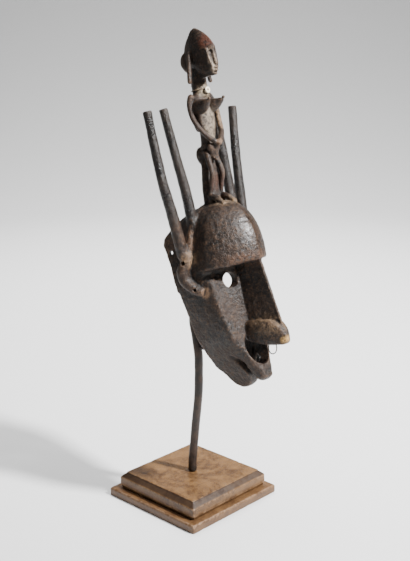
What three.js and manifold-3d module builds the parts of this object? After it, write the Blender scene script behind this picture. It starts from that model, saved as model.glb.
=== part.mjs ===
// Ntomo mask: a hollow wooden face mask with four horns and a standing female
// figure, held by a bent rod on a stepped wooden base. Millimetres, +Z up.
// The face looks along -Y and the origin is the middle of the base's underside.
import * as THREE from 'three';
import { LoftGeometry } from 'three/addons/geometries/LoftGeometry.js';
import { mergeVertices } from 'three/addons/utils/BufferGeometryUtils.js';
import Module from 'manifold-3d';

const wasm = await Module();
wasm.setup();

// Stand
const LOWER_SLAB_SIDE = 200;
const LOWER_SLAB_HEIGHT = 14;
const UPPER_SLAB_SIDE = 175;
const BASE_TOP_SIDE = 156;
const BASE_HEIGHT = 42;
const ROD_RADIUS = 7.2;
const ARM_RADIUS = 3;
const FIT_GAP = 0.3;

// How the mask is held: its own frame leans back about X
const MASK_PLACE = new THREE.Vector3(0, -75, 400);
const MASK_LEAN = THREE.MathUtils.degToRad(14);

// Head, in the mask's own frame: x across, y towards the back, z up the face
const BROW_HEIGHT = 18;
const CROWN_HEIGHT = 110;
const BAND_HALF_WIDTH = 64;
const BAND_MIDDLE = -3.5;
const HEAD_SHIFT = -5;
const JAW_SHIFT = -7;
const FACE_MIDDLE_WIDTH = 9;
const CHEEK_DISH = 3;
const CHEEK_ROUND = 4.5;
const JAW_ROUND = 12;
const LEFT_FLARE = 25;
const RIGHT_FLARE = 33;
const JAW_FLARE = 6;
const FLARE_POWER = 2.2;
const FLARE_FADES_OVER = [10, 110];
const JAW_ROUNDS_OVER = [85, 140];
const JAW_SHIFTS_BY = 110;
const WALL = 10;
const FACE_WALL = 14;
const HOLLOW_BOTTOM = -138;

// Face from jaw to brow: height, front line, half width at the cheek ridges and
// how far the ridges stand behind the front line
const FACE_LEVELS = [
  [-184, -66, 2, 0],
  [-150, -61, 16.5, 1],
  [-130, -56.5, 24.5, 2.3],
  [-112, -51.5, 33.5, 3.5],
  [-90, -48, 43, 5.6],
  [-44, -43.4, 49, 10],
  [BROW_HEIGHT, -38, 51, 16.5],
];

// Forehead dome
const DOME_SHIFT = -3;
const DOME_HALF_WIDTH = 60;
const DOME_DEPTH = 56;
const DOME_POINT = 1.5;
const DOME_BACK_DEPTH = 80;
const DOME_BACK = 0;
const DOME_MIDDLE = -28;
const DOME_BOTTOM = 15;
const DOME_TOP = 113;
const DOME_STRAIGHT_TO = 26;
const DOME_ARCH = 2.15;
const DOME_ROUNDED_FOOT = 0.965;
const DOME_BROW_RISE = 0.07;

// Openings
const EYE_SPACING = 46;
const EYES_MIDDLE = -1;
const EYE_HALF_WIDTH = 10;
const EYE_HALF_HEIGHT = 11.3;
const EYE_HEIGHT = -5.5;
const MOUTH_MIDDLE = -7;
const MOUTH_HALF_WIDTH = 22.5;
const MOUTH_HALF_HEIGHT = 27.5;
const MOUTH_HEIGHT = -112;
const RIGHT_EAR_SHIFT = -2;
const EAR_HOLE_RADIUS = 2.7;
const LOBE_HOLE_RADIUS = 2;
const RIM_HOLE_RADIUS = 2.8;
const RIM_HOLE_SLANT = THREE.MathUtils.degToRad(31);

// Nose
const NOSE_RIDGE_TOP = -82;
const NOSE_RIDGE_SLOPE = 0.208;
const NOSE_HALF_WIDTH = 8.5;
const NOSE_WIDENING = 0.075;
const NOSE_RIDGE_HALF_WIDTH = 2.6;

// Horns, left to right: foot, bend and tip of each centre line
const HORN_RADII = [9, 8.4, 7.4, 6.6];
const HORNS = [
  [[-73, 7, 45], [-85, 1, 113], [-93, 0, 165], [-97, 0, 263]],
  [[-45, 2, 82], [-47.5, 1, 130], [-54, 0, 178], [-64, 0, 264]],
  [[44, -2, 82], [47.5, 1, 135], [46, 0, 190], [44, 0, 259]],
  [[63, 1, 52], [70, 1, 117], [75, 0, 177], [86.5, 0, 257]],
];

// Web of wood between the figure's legs
const WEB_MIDDLE = 5;

// Nose ring and necklace
const RING_RADIUS = 9.2;
const RING_WIRE = 1;
const NECK_RADIUS = 12;
const NECK_MIDDLE = -20.5;
const CORD_HEIGHT = 284;
const CORD_RADIUS = 0.7;
const BEAD_RADIUS = 5;
const BEAD_HOLE = 1.8;
const BEAD_THICKNESS = 3;

const WOOD = { color: 0x2e2520, roughness: 0.62, metalness: 0 };
const ROD = { color: 0x2a2522, roughness: 0.5, metalness: 0.6 };
const BASE = { color: 0x6e553c, roughness: 0.6, metalness: 0 };
const WIRE = { color: 0x35302c, roughness: 0.5, metalness: 0.8 };
const THREAD = { color: 0x6a5640, roughness: 0.9, metalness: 0 };
const SHELL = { color: 0xd8cbac, roughness: 0.5, metalness: 0 };

// A closed solid from any closed geometry, with its faces turned outwards
function solid(geometry) {
  const bare = geometry.index ? geometry.toNonIndexed() : geometry.clone();
  bare.deleteAttribute('normal');
  bare.deleteAttribute('uv');
  const merged = mergeVertices(bare, 1e-3);
  const corners = merged.index.array;
  const places = merged.attributes.position.array;
  const triangles = [];
  for (let i = 0; i < corners.length; i += 3) {
    const [a, b, c] = corners.slice(i, i + 3);
    if (a !== b && b !== c && c !== a) {
      triangles.push(a, b, c);
    }
  }
  if (signedVolume(places, triangles) < 0) {
    triangles.reverse();
  }
  const mesh = new wasm.Mesh({
    numProp: 3,
    vertProperties: new Float32Array(places),
    triVerts: new Uint32Array(triangles),
  });
  return new wasm.Manifold(mesh);
}

function signedVolume(places, triangles) {
  const corner = (i) => new THREE.Vector3().fromArray(places, 3 * triangles[i]);
  let total = 0;
  for (let i = 0; i < triangles.length; i += 3) {
    total += corner(i).dot(corner(i + 1).cross(corner(i + 2))) / 6;
  }
  return total;
}

function union(solids) {
  return solids.reduce((whole, next) => whole.add(next));
}

// The same form on the left (-1) and on the right (+1)
function bothSides(make) {
  return [make(-1), make(1)];
}

// Skin over rings of equal point count, turned to run anticlockwise from the end
function loft(rings) {
  const sum = (ring) => ring.reduce((total, p) => total.add(p), new THREE.Vector3());
  const middle = (ring) => sum(ring).divideScalar(ring.length);
  const heading = middle(rings[1]).sub(middle(rings[0]));
  const facing = new THREE.Vector3();
  rings[0].forEach((p, i) => {
    facing.add(new THREE.Vector3().crossVectors(p, rings[0][(i + 1) % rings[0].length]));
  });
  const ordered = facing.dot(heading) > 0 ? rings : rings.map((ring) => [...ring].reverse());
  return solid(new LoftGeometry(ordered, { capStart: true, capEnd: true }));
}

// One oval ring square to a direction, its width kept level along x
function ovalRing(centre, direction, width, depth, sides) {
  const runsAcross = Math.abs(direction.x) > 0.9;
  const across = runsAcross ? new THREE.Vector3(0, 0, 1) : new THREE.Vector3(1, 0, 0);
  across.addScaledVector(direction, -across.dot(direction)).normalize();
  const other = new THREE.Vector3().crossVectors(direction, across);
  return Array.from({ length: sides }, (_, i) => {
    const angle = (2 * Math.PI * i) / sides;
    return centre.clone()
      .addScaledVector(across, width * Math.cos(angle))
      .addScaledVector(other, depth * Math.sin(angle));
  });
}

// A carved limb through stops of [x, y, z, half width, half depth]
function limb(stops, sides = 10, roundEnds = true) {
  const points = stops.map(([x, y, z]) => new THREE.Vector3(x, y, z));
  const last = points.length - 1;
  const rings = [];
  points.forEach((point, i) => {
    const next = points[Math.min(i + 1, last)];
    const direction = next.clone().sub(points[Math.max(i - 1, 0)]).normalize();
    const width = stops[i][3];
    const depth = stops[i][4] ?? width;
    const ends = [];
    if (roundEnds && (i === 0 || i === last)) {
      const outwards = i === 0 ? -1 : 1;
      const reach = 0.7 * Math.min(width, depth) * outwards;
      const past = point.clone().addScaledVector(direction, reach);
      ends.push(ovalRing(past, direction, 0.6 * width, 0.6 * depth, sides));
    }
    const here = ovalRing(point, direction, width, depth, sides);
    rings.push(...(i === 0 ? [...ends, here] : [here, ...ends]));
  });
  return loft(rings);
}

function ball([x, y, z], [width, depth, height], columns = 12, rows = 8) {
  const geometry = new THREE.SphereGeometry(1, columns, rows);
  geometry.rotateX(Math.PI / 2);
  geometry.scale(width, depth, height);
  geometry.translate(x, y, z);
  return solid(geometry);
}

// A straight round or oval hole along y
function boreAlongY(x, z, halfWidth, halfHeight, from, to, sides = 16) {
  const geometry = new THREE.CylinderGeometry(1, 1, to - from, sides);
  geometry.scale(halfWidth, 1, halfHeight);
  geometry.translate(x, (from + to) / 2, z);
  return solid(geometry);
}

// The face's level at a height, between the ones listed
function faceAt(z) {
  const above = FACE_LEVELS.findIndex(([height]) => height > z);
  if (above < 1) {
    return FACE_LEVELS[above === 0 ? 0 : FACE_LEVELS.length - 1];
  }
  const lower = FACE_LEVELS[above - 1];
  const upper = FACE_LEVELS[above];
  const share = (z - lower[0]) / (upper[0] - lower[0]);
  return lower.map((value, i) => value + share * (upper[i] - value));
}

// How much of its width the crown's arch leaves the head above the brow
function archShare(z, inset) {
  const rise = Math.max(0, z - BROW_HEIGHT) / (CROWN_HEIGHT - inset - BROW_HEIGHT);
  return Math.sqrt(Math.max(0, 1 - rise * rise));
}

// Level ring of the head shell or of its hollow: a front that falls back to a
// ridge on each cheek, and sides that flare towards the back
function headRing(z, inset, faceInset, back) {
  const [, faceFront, cheek, ridgeBack] = faceAt(z);
  const arch = archShare(z, inset);
  const width = Math.max((cheek - inset) * arch, 1.5);
  const drop = Math.max(0, BROW_HEIGHT - z);
  const flareFades = THREE.MathUtils.smoothstep(drop, ...FLARE_FADES_OVER);
  const roundEdge = THREE.MathUtils.lerp(
    CHEEK_ROUND,
    JAW_ROUND,
    THREE.MathUtils.smoothstep(drop, ...JAW_ROUNDS_OVER),
  );
  const round = Math.min(roundEdge + 0.5 * faceInset, 0.6 * width);
  const frontAt = (x) => {
    const share = Math.min(Math.max(0, x - FACE_MIDDLE_WIDTH) / (cheek - FACE_MIDDLE_WIDTH + 1e-6), 1);
    return faceFront + faceInset + ridgeBack * share;
  };
  const ridge = frontAt(Math.max(cheek, FACE_MIDDLE_WIDTH + 1));
  const isDished = inset === 0 && z > -110;
  const middle = Math.min(FACE_MIDDLE_WIDTH, 0.3 * width);
  const dish = 0.5 * (middle + width - round);
  const shift = THREE.MathUtils.lerp(
    HEAD_SHIFT,
    JAW_SHIFT,
    THREE.MathUtils.smoothstep(-z, 0, JAW_SHIFTS_BY),
  );
  const half = (side) => {
    const mostFlare = side < 0 ? LEFT_FLARE : RIGHT_FLARE;
    const flare = THREE.MathUtils.lerp(mostFlare, JAW_FLARE, flareFades)
      * arch * Math.min(1, width / 20);
    const outline = [
      [middle, frontAt(middle)],
      [dish, frontAt(dish) + (isDished ? CHEEK_DISH : 0)],
      [width - round, frontAt(width - round)],
      [width - 0.25 * round, frontAt(width) + 0.25 * round],
    ];
    const start = Math.max(ridge, frontAt(width) + round);
    for (const share of [0.1, 0.3, 0.6, 1]) {
      const place = width + flare * (1 - (1 - share) ** FLARE_POWER);
      outline.push([place, start + share * (back - start)]);
    }
    return outline.map(([x, y]) => new THREE.Vector3(shift + side * x, y, z));
  };
  return [...half(1), ...half(-1).reverse()];
}

function headLevels(bottom, top) {
  const levels = [];
  const jawSteps = 9;
  for (let i = 0; i <= jawSteps; i += 1) {
    levels.push(bottom + ((BROW_HEIGHT - bottom) * i) / jawSteps);
  }
  const archSteps = 7;
  for (let i = 1; i <= archSteps; i += 1) {
    levels.push(BROW_HEIGHT + (top - BROW_HEIGHT) * Math.sin((Math.PI / 2) * (i / archSteps)));
  }
  return levels;
}

// Side view of the head: rear rim, chin, the slit between the lips and the upper lip
function sideProfile() {
  const side = new THREE.Shape();
  side.moveTo(-130, 150);
  side.lineTo(-130, -148);
  side.lineTo(-68, -150);
  side.quadraticCurveTo(-64, -165, -54, -167);
  side.quadraticCurveTo(-43, -168, -42.5, -160);
  side.lineTo(-43, -152);
  side.lineTo(-39, -143);
  side.lineTo(-34, -134);
  side.lineTo(-27, -128);
  side.lineTo(-29, -136);
  side.lineTo(-32, -145);
  side.lineTo(-34.5, -154);
  side.quadraticCurveTo(-34, -166, -28, -172);
  side.quadraticCurveTo(-20, -178, -8, -178);
  side.quadraticCurveTo(6, -176, 14, -161);
  side.quadraticCurveTo(25, -145, 27, -118);
  side.lineTo(30, -80);
  side.lineTo(28, -40);
  side.lineTo(28, -14);
  side.lineTo(31, -10);
  side.lineTo(33, 28);
  side.lineTo(39, 47);
  side.lineTo(48, 62);
  side.lineTo(49, 71);
  side.lineTo(40, 86);
  side.lineTo(10, 116);
  side.lineTo(0, 150);
  return side;
}

function acrossHead(shape, halfWidth) {
  const geometry = new THREE.ExtrudeGeometry(shape, {
    depth: 2 * halfWidth,
    bevelEnabled: false,
    curveSegments: 6,
  });
  const turn = new THREE.Matrix4().makeBasis(
    new THREE.Vector3(0, 1, 0),
    new THREE.Vector3(0, 0, 1),
    new THREE.Vector3(1, 0, 0),
  );
  geometry.applyMatrix4(turn);
  geometry.translate(-halfWidth, 0, 0);
  return solid(geometry);
}

// Helmet-like forehead: pointed oval levels on a lower edge that rises to the front
function dome() {
  const rings = [];
  const steps = 10;
  const sides = 26;
  for (let i = 0; i <= steps; i += 1) {
    const share = Math.sin((Math.PI / 2) * (i / steps)) ** 1.1;
    const height = DOME_BOTTOM + (DOME_TOP - DOME_BOTTOM) * share;
    const rise = Math.max(0, (height - DOME_STRAIGHT_TO) / (DOME_TOP - DOME_STRAIGHT_TO));
    const arch = (1 - Math.min(rise, 0.9995) ** DOME_ARCH) ** (1 / DOME_ARCH);
    const size = Math.max(i === 0 ? DOME_ROUNDED_FOOT : arch, 0.03);
    rings.push(Array.from({ length: sides }, (_, k) => {
      const angle = (2 * Math.PI * k) / sides;
      const isFront = Math.sin(angle) < 0;
      const power = isFront ? 2 / DOME_POINT : 1;
      const depth = isFront ? DOME_DEPTH : DOME_BACK_DEPTH;
      const x = Math.sign(Math.cos(angle)) * Math.abs(Math.cos(angle)) ** power;
      const y = Math.sign(Math.sin(angle)) * Math.abs(Math.sin(angle)) ** power;
      const place = Math.min(DOME_MIDDLE + size * depth * y, DOME_BACK);
      const lift = DOME_BROW_RISE * Math.max(0, DOME_MIDDLE - place) * (1 - share);
      return new THREE.Vector3(DOME_SHIFT + size * DOME_HALF_WIDTH * x, place, height + lift);
    }));
  }
  return loft(rings);
}

function noseBridge() {
  const ring = (z) => {
    const ridge = NOSE_RIDGE_TOP - NOSE_RIDGE_SLOPE * (14 - z);
    const foot = NOSE_HALF_WIDTH + NOSE_WIDENING * (14 - z);
    const half = [
      [NOSE_RIDGE_HALF_WIDTH - 1, ridge],
      [NOSE_RIDGE_HALF_WIDTH, ridge + 3],
      [foot, -44],
      [foot, -32],
    ];
    const right = half.map(([x, y]) => new THREE.Vector3(x, y, z));
    const left = half.map(([x, y]) => new THREE.Vector3(-x, y, z)).reverse();
    return [...right, ...left];
  };
  return loft([24, -20, -60, -95].map(ring));
}

// Flared nostrils: level-bottomed rounded body, wide at the face, narrow at the tip
function noseWings() {
  const stops = [
    { y: -108, halfWidth: 3.5, top: -99, bottom: -109 },
    { y: -105, halfWidth: 7, top: -90, bottom: -111.5 },
    { y: -97, halfWidth: 11.5, top: -79, bottom: -113 },
    { y: -85, halfWidth: 15.5, top: -71, bottom: -112.5 },
    { y: -70, halfWidth: 19, top: -69.5, bottom: -111 },
    { y: -56, halfWidth: 20.5, top: -71, bottom: -109 },
    { y: -38, halfWidth: 18, top: -78, bottom: -104 },
  ];
  const sides = 14;
  const boxiness = 0.58;
  const ring = ({ y, halfWidth, top, bottom }) => Array.from({ length: sides }, (_, i) => {
    const angle = (2 * Math.PI * i) / sides;
    const rise = Math.abs(Math.sin(angle)) ** boxiness;
    const reach = Math.sign(Math.sin(angle)) * ((top - bottom) / 2) * rise;
    return new THREE.Vector3(halfWidth * Math.cos(angle), y, (top + bottom) / 2 + reach);
  });
  return loft(stops.map(ring));
}

// The ears' places across the head
function earPlace(side, x) {
  return (side < 0 ? HEAD_SHIFT : RIGHT_EAR_SHIFT) + side * x;
}

// Crescent ear with pierced ends
function ear(side) {
  return limb([
    [earPlace(side, 64.3), 1.4, 41.2, 8],
    [earPlace(side, 67.9), 5.3, 29.5, 9.2],
    [earPlace(side, 70.2), 9.9, 19.6, 10],
    [earPlace(side, 69.6), 10.6, 8.5, 9.8],
    [earPlace(side, 67.4), 5.3, -1.5, 8.8],
    [earPlace(side, 64.5), -1.3, -8.7, 7.8],
    [earPlace(side, 61.4), -8.2, -13.9, 6.8],
    [earPlace(side, 58.4), -14.2, -16.5, 5.8],
  ], 10);
}

// A level round hole through an ear or the rim, slanted towards the back if asked
function pierce(x, y, z, radius, length, slant = 0) {
  const geometry = new THREE.CylinderGeometry(radius, radius, length, 8);
  geometry.rotateZ(Math.PI / 2 - Math.sign(x) * slant);
  geometry.translate(x, y, z);
  return solid(geometry);
}

// Raised band over the crown, from ear to ear, that the horns grow from
function crownBand() {
  const stops = [];
  const steps = 14;
  for (let i = 0; i <= steps; i += 1) {
    const angle = Math.PI * (0.1 + (0.8 * i) / steps);
    const x = BAND_MIDDLE - BAND_HALF_WIDTH * Math.cos(angle);
    const z = BROW_HEIGHT + (CROWN_HEIGHT - 1 - BROW_HEIGHT) * Math.sin(angle);
    stops.push([x, 0, z, 5.5]);
  }
  return limb(stops, 8);
}

function horn(stops) {
  return limb(stops.map((stop, i) => [...stop, HORN_RADII[i]]), 12, false);
}

// The standing figure, feet on the dome and backed by a post
function figureLegs(side) {
  return union([
    limb([
      [side * 8, -18, 190, 6],
      [side * 9.5, -21, 176, 5],
      [side * 10.8, -25, 160, 4.6],
      [side * 11.2, -20.5, 144, 4],
      [side * 11.6, -15.5, 131, 3.8],
      [side * 11.8, -14, 122, 4.2],
    ], 8),
    limb([
      [side * 12, -12, 121, 5, 5],
      [side * 12.2, -25, 118, 5, 4.6],
      [side * 12.6, -38, 110, 4.8, 4],
    ], 8),
  ]);
}

const LEFT_ARM = [
  [-20, -18, 274, 5.2],
  [-23.5, -16, 262, 4.6],
  [-24, -17, 247, 4.2],
  [-22, -23, 231, 4],
  [-16, -28.5, 218, 4],
  [-3.5, -37, 203, 4.2],
];
const RIGHT_ARM = [
  [20, -18, 274, 5.2],
  [24.5, -19.5, 264, 5],
  [27, -21, 250, 4.7],
  [26.5, -22.5, 236, 4.6],
  [22, -28, 221, 4.4],
  [4, -38, 203, 4.2],
];

function figureArm(side) {
  return limb(side < 0 ? LEFT_ARM : RIGHT_ARM, 8);
}

function figureBreast(side) {
  return union([
    limb([
      [side * 11, -21, 260, 12],
      [side * 12, -31, 260.5, 10],
      [side * 14, -43, 264, 5.6],
      [side * 15.4, -50.5, 266.5, 2.6],
    ], 8),
    limb([[side * 10.5, -25, 253, 4.6], [side * 13, -38, 258.5, 3]], 8),
  ]);
}

function figureBody() {
  return limb([
    [0, -12, 180, 11, 9],
    [0, -17, 204, 12, 10],
    [0, -20, 218, 14, 9.5],
    [0, -22, 232, 16.5, 9],
    [0, -22, 248, 18, 9.5],
    [0, -21, 272, 19.5, 9.5],
    [0, -20.5, 280, 14, 8.5],
  ], 12);
}

function figureHead() {
  const stops = [
    { z: 299, front: -57, back: -46, halfWidth: 4.5 },
    { z: 306, front: -60, back: -32, halfWidth: 8.5 },
    { z: 314, front: -62, back: -16, halfWidth: 11 },
    { z: 324, front: -61, back: -6, halfWidth: 12.5 },
    { z: 333, front: -61, back: -3, halfWidth: 12.5 },
    { z: 340, front: -65, back: -3.5, halfWidth: 12 },
    { z: 349, front: -60.5, back: -5, halfWidth: 10.5 },
    { z: 358, front: -53.5, back: -10, halfWidth: 8 },
    { z: 365, front: -46.5, back: -16, halfWidth: 5.5 },
    { z: 371, front: -40, back: -21, halfWidth: 3.4 },
    { z: 375, front: -33, back: -27, halfWidth: 1.6 },
  ];
  const sides = 12;
  const rings = stops.map(({ z, front, back, halfWidth }) => {
    const centre = new THREE.Vector3(0, (front + back) / 2, z);
    return ovalRing(centre, new THREE.Vector3(0, 0, 1), halfWidth, (back - front) / 2, sides);
  });
  return union([
    loft(rings),
    limb([[0, -60, 339, 2.4], [0, -62, 326, 2.4], [0, -63.5, 317, 3.2, 3]], 8),
    limb([[-4.6, -57, 308, 2], [0, -63, 308, 2.4], [4.6, -57, 308, 2]], 6),
    limb([[-4.4, -54, 302.5, 2], [0, -60, 301.5, 2.4], [4.4, -54, 302.5, 2]], 6),
    ball([0, -4, 329], [9.5, 9.7, 18], 10, 6),
  ]);
}

function figureBraid(side) {
  return limb([
    [side * 12, -23, 341, 2],
    [side * 14.5, -23.5, 332, 3],
    [side * 17, -24, 322, 3.5],
    [side * 20, -24, 309, 3.5],
    [side * 22.5, -24, 296.5, 3.2],
  ], 8);
}

function figure() {
  const post = limb([
    [0, -5, 96, 18, 11],
    [0, -5, 130, 16.5, 9.5],
    [0, -8.5, 165, 13.5, 8.5],
    [0, -10, 192, 11, 8],
  ], 8, false);
  return union([
    post,
    limb([
      [WEB_MIDDLE, -9, 113, 14, 6.5],
      [WEB_MIDDLE, -9, 132, 14, 7],
      [WEB_MIDDLE, -12, 157, 13, 8],
      [0, -12, 180, 11, 8],
    ], 8, false),
    limb([[0, -13.5, 224, 19, 3], [0, -14, 240, 22, 3.2], [0, -15.5, 267, 20, 5]], 8, false),
    figureBody(),
    ball([0, -26, 193], [11.5, 8, 12], 10, 6),
    ball([0, -40.5, 201.5], [4.8, 4.5, 4.8], 8, 6),
    limb([
      [0, NECK_MIDDLE, 272, NECK_RADIUS],
      [0, NECK_MIDDLE, 290, NECK_RADIUS],
      [0, -24, 314, 11],
    ], 16, false),
    figureHead(),
    ...bothSides((side) => ball([side * 5.5, -3.5, 187], [8, 8, 13], 10, 6)),
    ...bothSides(figureLegs),
    ...bothSides(figureArm),
    ...bothSides(figureBreast),
    ...bothSides(figureBraid),
  ]);
}

function eyeHole(side) {
  const x = EYES_MIDDLE + (side * EYE_SPACING) / 2;
  return boreAlongY(x, EYE_HEIGHT, EYE_HALF_WIDTH, EYE_HALF_HEIGHT, -70, 0, 20);
}

// The whole carving in one piece of wood
function maskSolid() {
  const shell = loft(headLevels(-184, CROWN_HEIGHT - 0.5).map((z) => headRing(z, 0, 0, 60)))
    .intersect(acrossHead(sideProfile(), 110));
  const hollow = loft(headLevels(HOLLOW_BOTTOM, CROWN_HEIGHT - WALL - 0.5)
    .map((z) => headRing(z, WALL, FACE_WALL, 80)));
  const head = union([shell, dome(), ...bothSides(ear), crownBand(), ...HORNS.map(horn)]);
  const openings = union([
    hollow,
    ball([0, -30, 55], [50, 38, 36], 12, 7),
    ...bothSides(eyeHole),
    boreAlongY(MOUTH_MIDDLE, MOUTH_HEIGHT, MOUTH_HALF_WIDTH, MOUTH_HALF_HEIGHT, -80, -20, 20),
    ...bothSides((side) => pierce(earPlace(side, 78), 3, 32.4, EAR_HOLE_RADIUS, 24)),
    ...bothSides((side) => pierce(side * 72, 32, 50, RIM_HOLE_RADIUS, 40, RIM_HOLE_SLANT)),
    ...bothSides((side) => pierce(earPlace(side, 72), -6, -10, LOBE_HOLE_RADIUS, 24)),
  ]);
  return union([head.subtract(openings), noseBridge(), noseWings(), figure()]);
}

function toGeometry(shape) {
  const { vertProperties, triVerts } = shape.getMesh();
  const geometry = new THREE.BufferGeometry();
  geometry.setAttribute('position', new THREE.BufferAttribute(new Float32Array(vertProperties), 3));
  geometry.setIndex(new THREE.BufferAttribute(new Uint32Array(triVerts), 1));
  return geometry;
}

function named(name, geometry, look) {
  const mesh = new THREE.Mesh(geometry, new THREE.MeshStandardMaterial(look));
  mesh.name = name;
  return mesh;
}

function tube(points, radius, sides, steps) {
  const path = new THREE.CatmullRomCurve3(points.map((p) => new THREE.Vector3(...p)));
  const section = new THREE.Shape().absarc(0, 0, radius, 0, 2 * Math.PI);
  return new THREE.ExtrudeGeometry(section, {
    extrudePath: path,
    steps,
    curveSegments: sides / 2,
    bevelEnabled: false,
  });
}

// Open wire loop that hangs from the nose
function noseRing() {
  const points = [];
  const steps = 16;
  const opening = 0.9;
  for (let i = 0; i <= steps; i += 1) {
    const angle = Math.PI / 2 + opening + ((2 * Math.PI - 2 * opening) * i) / steps;
    points.push([RING_RADIUS * Math.cos(angle), 0, RING_RADIUS * Math.sin(angle)]);
  }
  const mesh = named('nose_ring', toGeometry(solid(tube(points, RING_WIRE, 6, 18))), WIRE);
  mesh.position.set(0, -73, -118.1);
  return mesh;
}

function neckCord() {
  const geometry = new THREE.TorusGeometry(NECK_RADIUS + FIT_GAP + CORD_RADIUS, CORD_RADIUS, 6, 20);
  const mesh = named('neck_cord', toGeometry(solid(geometry)), THREAD);
  mesh.position.set(0, NECK_MIDDLE, CORD_HEIGHT);
  return mesh;
}

function neckBead() {
  const half = BEAD_THICKNESS / 2;
  const profile = [
    new THREE.Vector2(BEAD_HOLE, -half),
    new THREE.Vector2(BEAD_RADIUS - 0.6, -half),
    new THREE.Vector2(BEAD_RADIUS, -half + 0.6),
    new THREE.Vector2(BEAD_RADIUS, half - 0.6),
    new THREE.Vector2(BEAD_RADIUS - 0.6, half),
    new THREE.Vector2(BEAD_HOLE, half),
    new THREE.Vector2(BEAD_HOLE, -half),
  ];
  const mesh = named('neck_bead', toGeometry(solid(new THREE.LatheGeometry(profile, 14))), SHELL);
  const cordFront = NECK_MIDDLE - NECK_RADIUS - FIT_GAP - 2 * CORD_RADIUS;
  mesh.position.set(0, cordFront - FIT_GAP - half, CORD_HEIGHT - 2.5);
  return mesh;
}

// Square slab built from level outlines of [half side, height]
function slab(name, levels) {
  const corner = 2.5;
  const rings = levels.map(([half, z]) => {
    const points = [];
    for (let quarter = 0; quarter < 4; quarter += 1) {
      for (const step of [0, 0.5, 1]) {
        const angle = (Math.PI / 2) * (quarter + step);
        const signX = quarter === 0 || quarter === 3 ? 1 : -1;
        const signY = quarter < 2 ? 1 : -1;
        const x = signX * (half - corner) + corner * Math.cos(angle);
        const y = signY * (half - corner) + corner * Math.sin(angle);
        points.push(new THREE.Vector3(x, y, z));
      }
    }
    return points;
  });
  return named(name, toGeometry(loft(rings)), BASE);
}

// Bent rod from the base up into the hollow, with a short arm under the jaw
function standRod() {
  const rod = solid(tube([
    [0, 0, BASE_HEIGHT + FIT_GAP],
    [0, 0, BASE_HEIGHT + 12],
    [0, -3.5, 88],
    [0, -7.4, 120],
    [0, -17, 205],
    [0, -17.5, 245],
    [0, -11.7, 285],
    [0, -6, 312],
    [0, -8, 350],
    [0, -19, 400],
    [0, -31, 450],
    [0, -39.5, 488],
  ], ROD_RADIUS, 12, 18));
  const arm = solid(tube([[0, -14, 268.4], [0, -60, 268.4], [0, -98.5, 268.4]], ARM_RADIUS, 8, 4));
  return named('stand_rod', toGeometry(rod.add(arm)), ROD);
}

const maskGroup = new THREE.Group();
maskGroup.position.copy(MASK_PLACE);
maskGroup.rotation.x = -MASK_LEAN;
maskGroup.add(named('mask', toGeometry(maskSolid()), WOOD), noseRing(), neckCord(), neckBead());

const object = new THREE.Group();
object.add(
  maskGroup,
  standRod(),
  slab('base_upper', [
    [UPPER_SLAB_SIDE / 2 - 2, LOWER_SLAB_HEIGHT + FIT_GAP],
    [UPPER_SLAB_SIDE / 2 - 2, LOWER_SLAB_HEIGHT + 3],
    [UPPER_SLAB_SIDE / 2, LOWER_SLAB_HEIGHT + 5],
    [UPPER_SLAB_SIDE / 2, 33.5],
    [BASE_TOP_SIDE / 2 + 3, BASE_HEIGHT - 3],
    [BASE_TOP_SIDE / 2, BASE_HEIGHT],
  ]),
  slab('base_lower', [
    [LOWER_SLAB_SIDE / 2 - 1, 0],
    [LOWER_SLAB_SIDE / 2, 1],
    [LOWER_SLAB_SIDE / 2, LOWER_SLAB_HEIGHT - 2],
    [LOWER_SLAB_SIDE / 2 - 2, LOWER_SLAB_HEIGHT],
  ]),
);

export default object;
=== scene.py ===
"""Looks of the ntomo mask on its stand: carved and worn wood, iron rod, stepped wooden base.

The carving is modelled as signed distances on a grid in its own frame, in millimetres:
x across, y towards the back and z up the face. The nose ring, the thread and the bead are
shaped in that frame too. Every mesh ends up in metres, in the object's frame.
"""

import itertools
import math

import bpy
import numpy as np
from mathutils import Matrix, Vector


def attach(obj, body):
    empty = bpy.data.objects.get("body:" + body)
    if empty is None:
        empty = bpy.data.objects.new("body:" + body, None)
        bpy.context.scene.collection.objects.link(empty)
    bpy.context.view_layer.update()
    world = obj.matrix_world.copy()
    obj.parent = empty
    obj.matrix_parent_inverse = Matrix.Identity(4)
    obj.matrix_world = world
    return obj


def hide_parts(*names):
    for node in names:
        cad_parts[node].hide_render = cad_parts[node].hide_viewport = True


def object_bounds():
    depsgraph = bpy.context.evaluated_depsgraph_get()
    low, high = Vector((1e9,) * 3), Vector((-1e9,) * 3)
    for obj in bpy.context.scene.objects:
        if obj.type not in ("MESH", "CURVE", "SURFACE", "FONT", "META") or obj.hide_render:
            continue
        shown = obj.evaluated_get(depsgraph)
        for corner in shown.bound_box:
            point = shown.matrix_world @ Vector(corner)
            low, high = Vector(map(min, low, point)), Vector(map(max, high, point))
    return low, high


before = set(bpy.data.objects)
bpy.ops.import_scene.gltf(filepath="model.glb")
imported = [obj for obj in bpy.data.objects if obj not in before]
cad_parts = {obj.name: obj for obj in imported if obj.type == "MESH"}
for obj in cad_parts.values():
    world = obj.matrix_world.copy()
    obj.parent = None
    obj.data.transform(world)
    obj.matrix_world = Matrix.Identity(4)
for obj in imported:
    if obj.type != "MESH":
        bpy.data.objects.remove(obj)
cad_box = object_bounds()

MM = 0.001
SIDES = (-1, 1)

# How the mask is held
MASK_PLACE = Vector((0.0, -0.075, 0.4))
MASK_LEAN = math.radians(14)

# Grid of the carving: fine steps in its middle and above the crown, where the figure stands
FINE = 0.85
COARSE = 1.45
REACH = 7.0
SMOOTHING_ROUNDS = 3
CARVING_TRIANGLES = 190000

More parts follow.
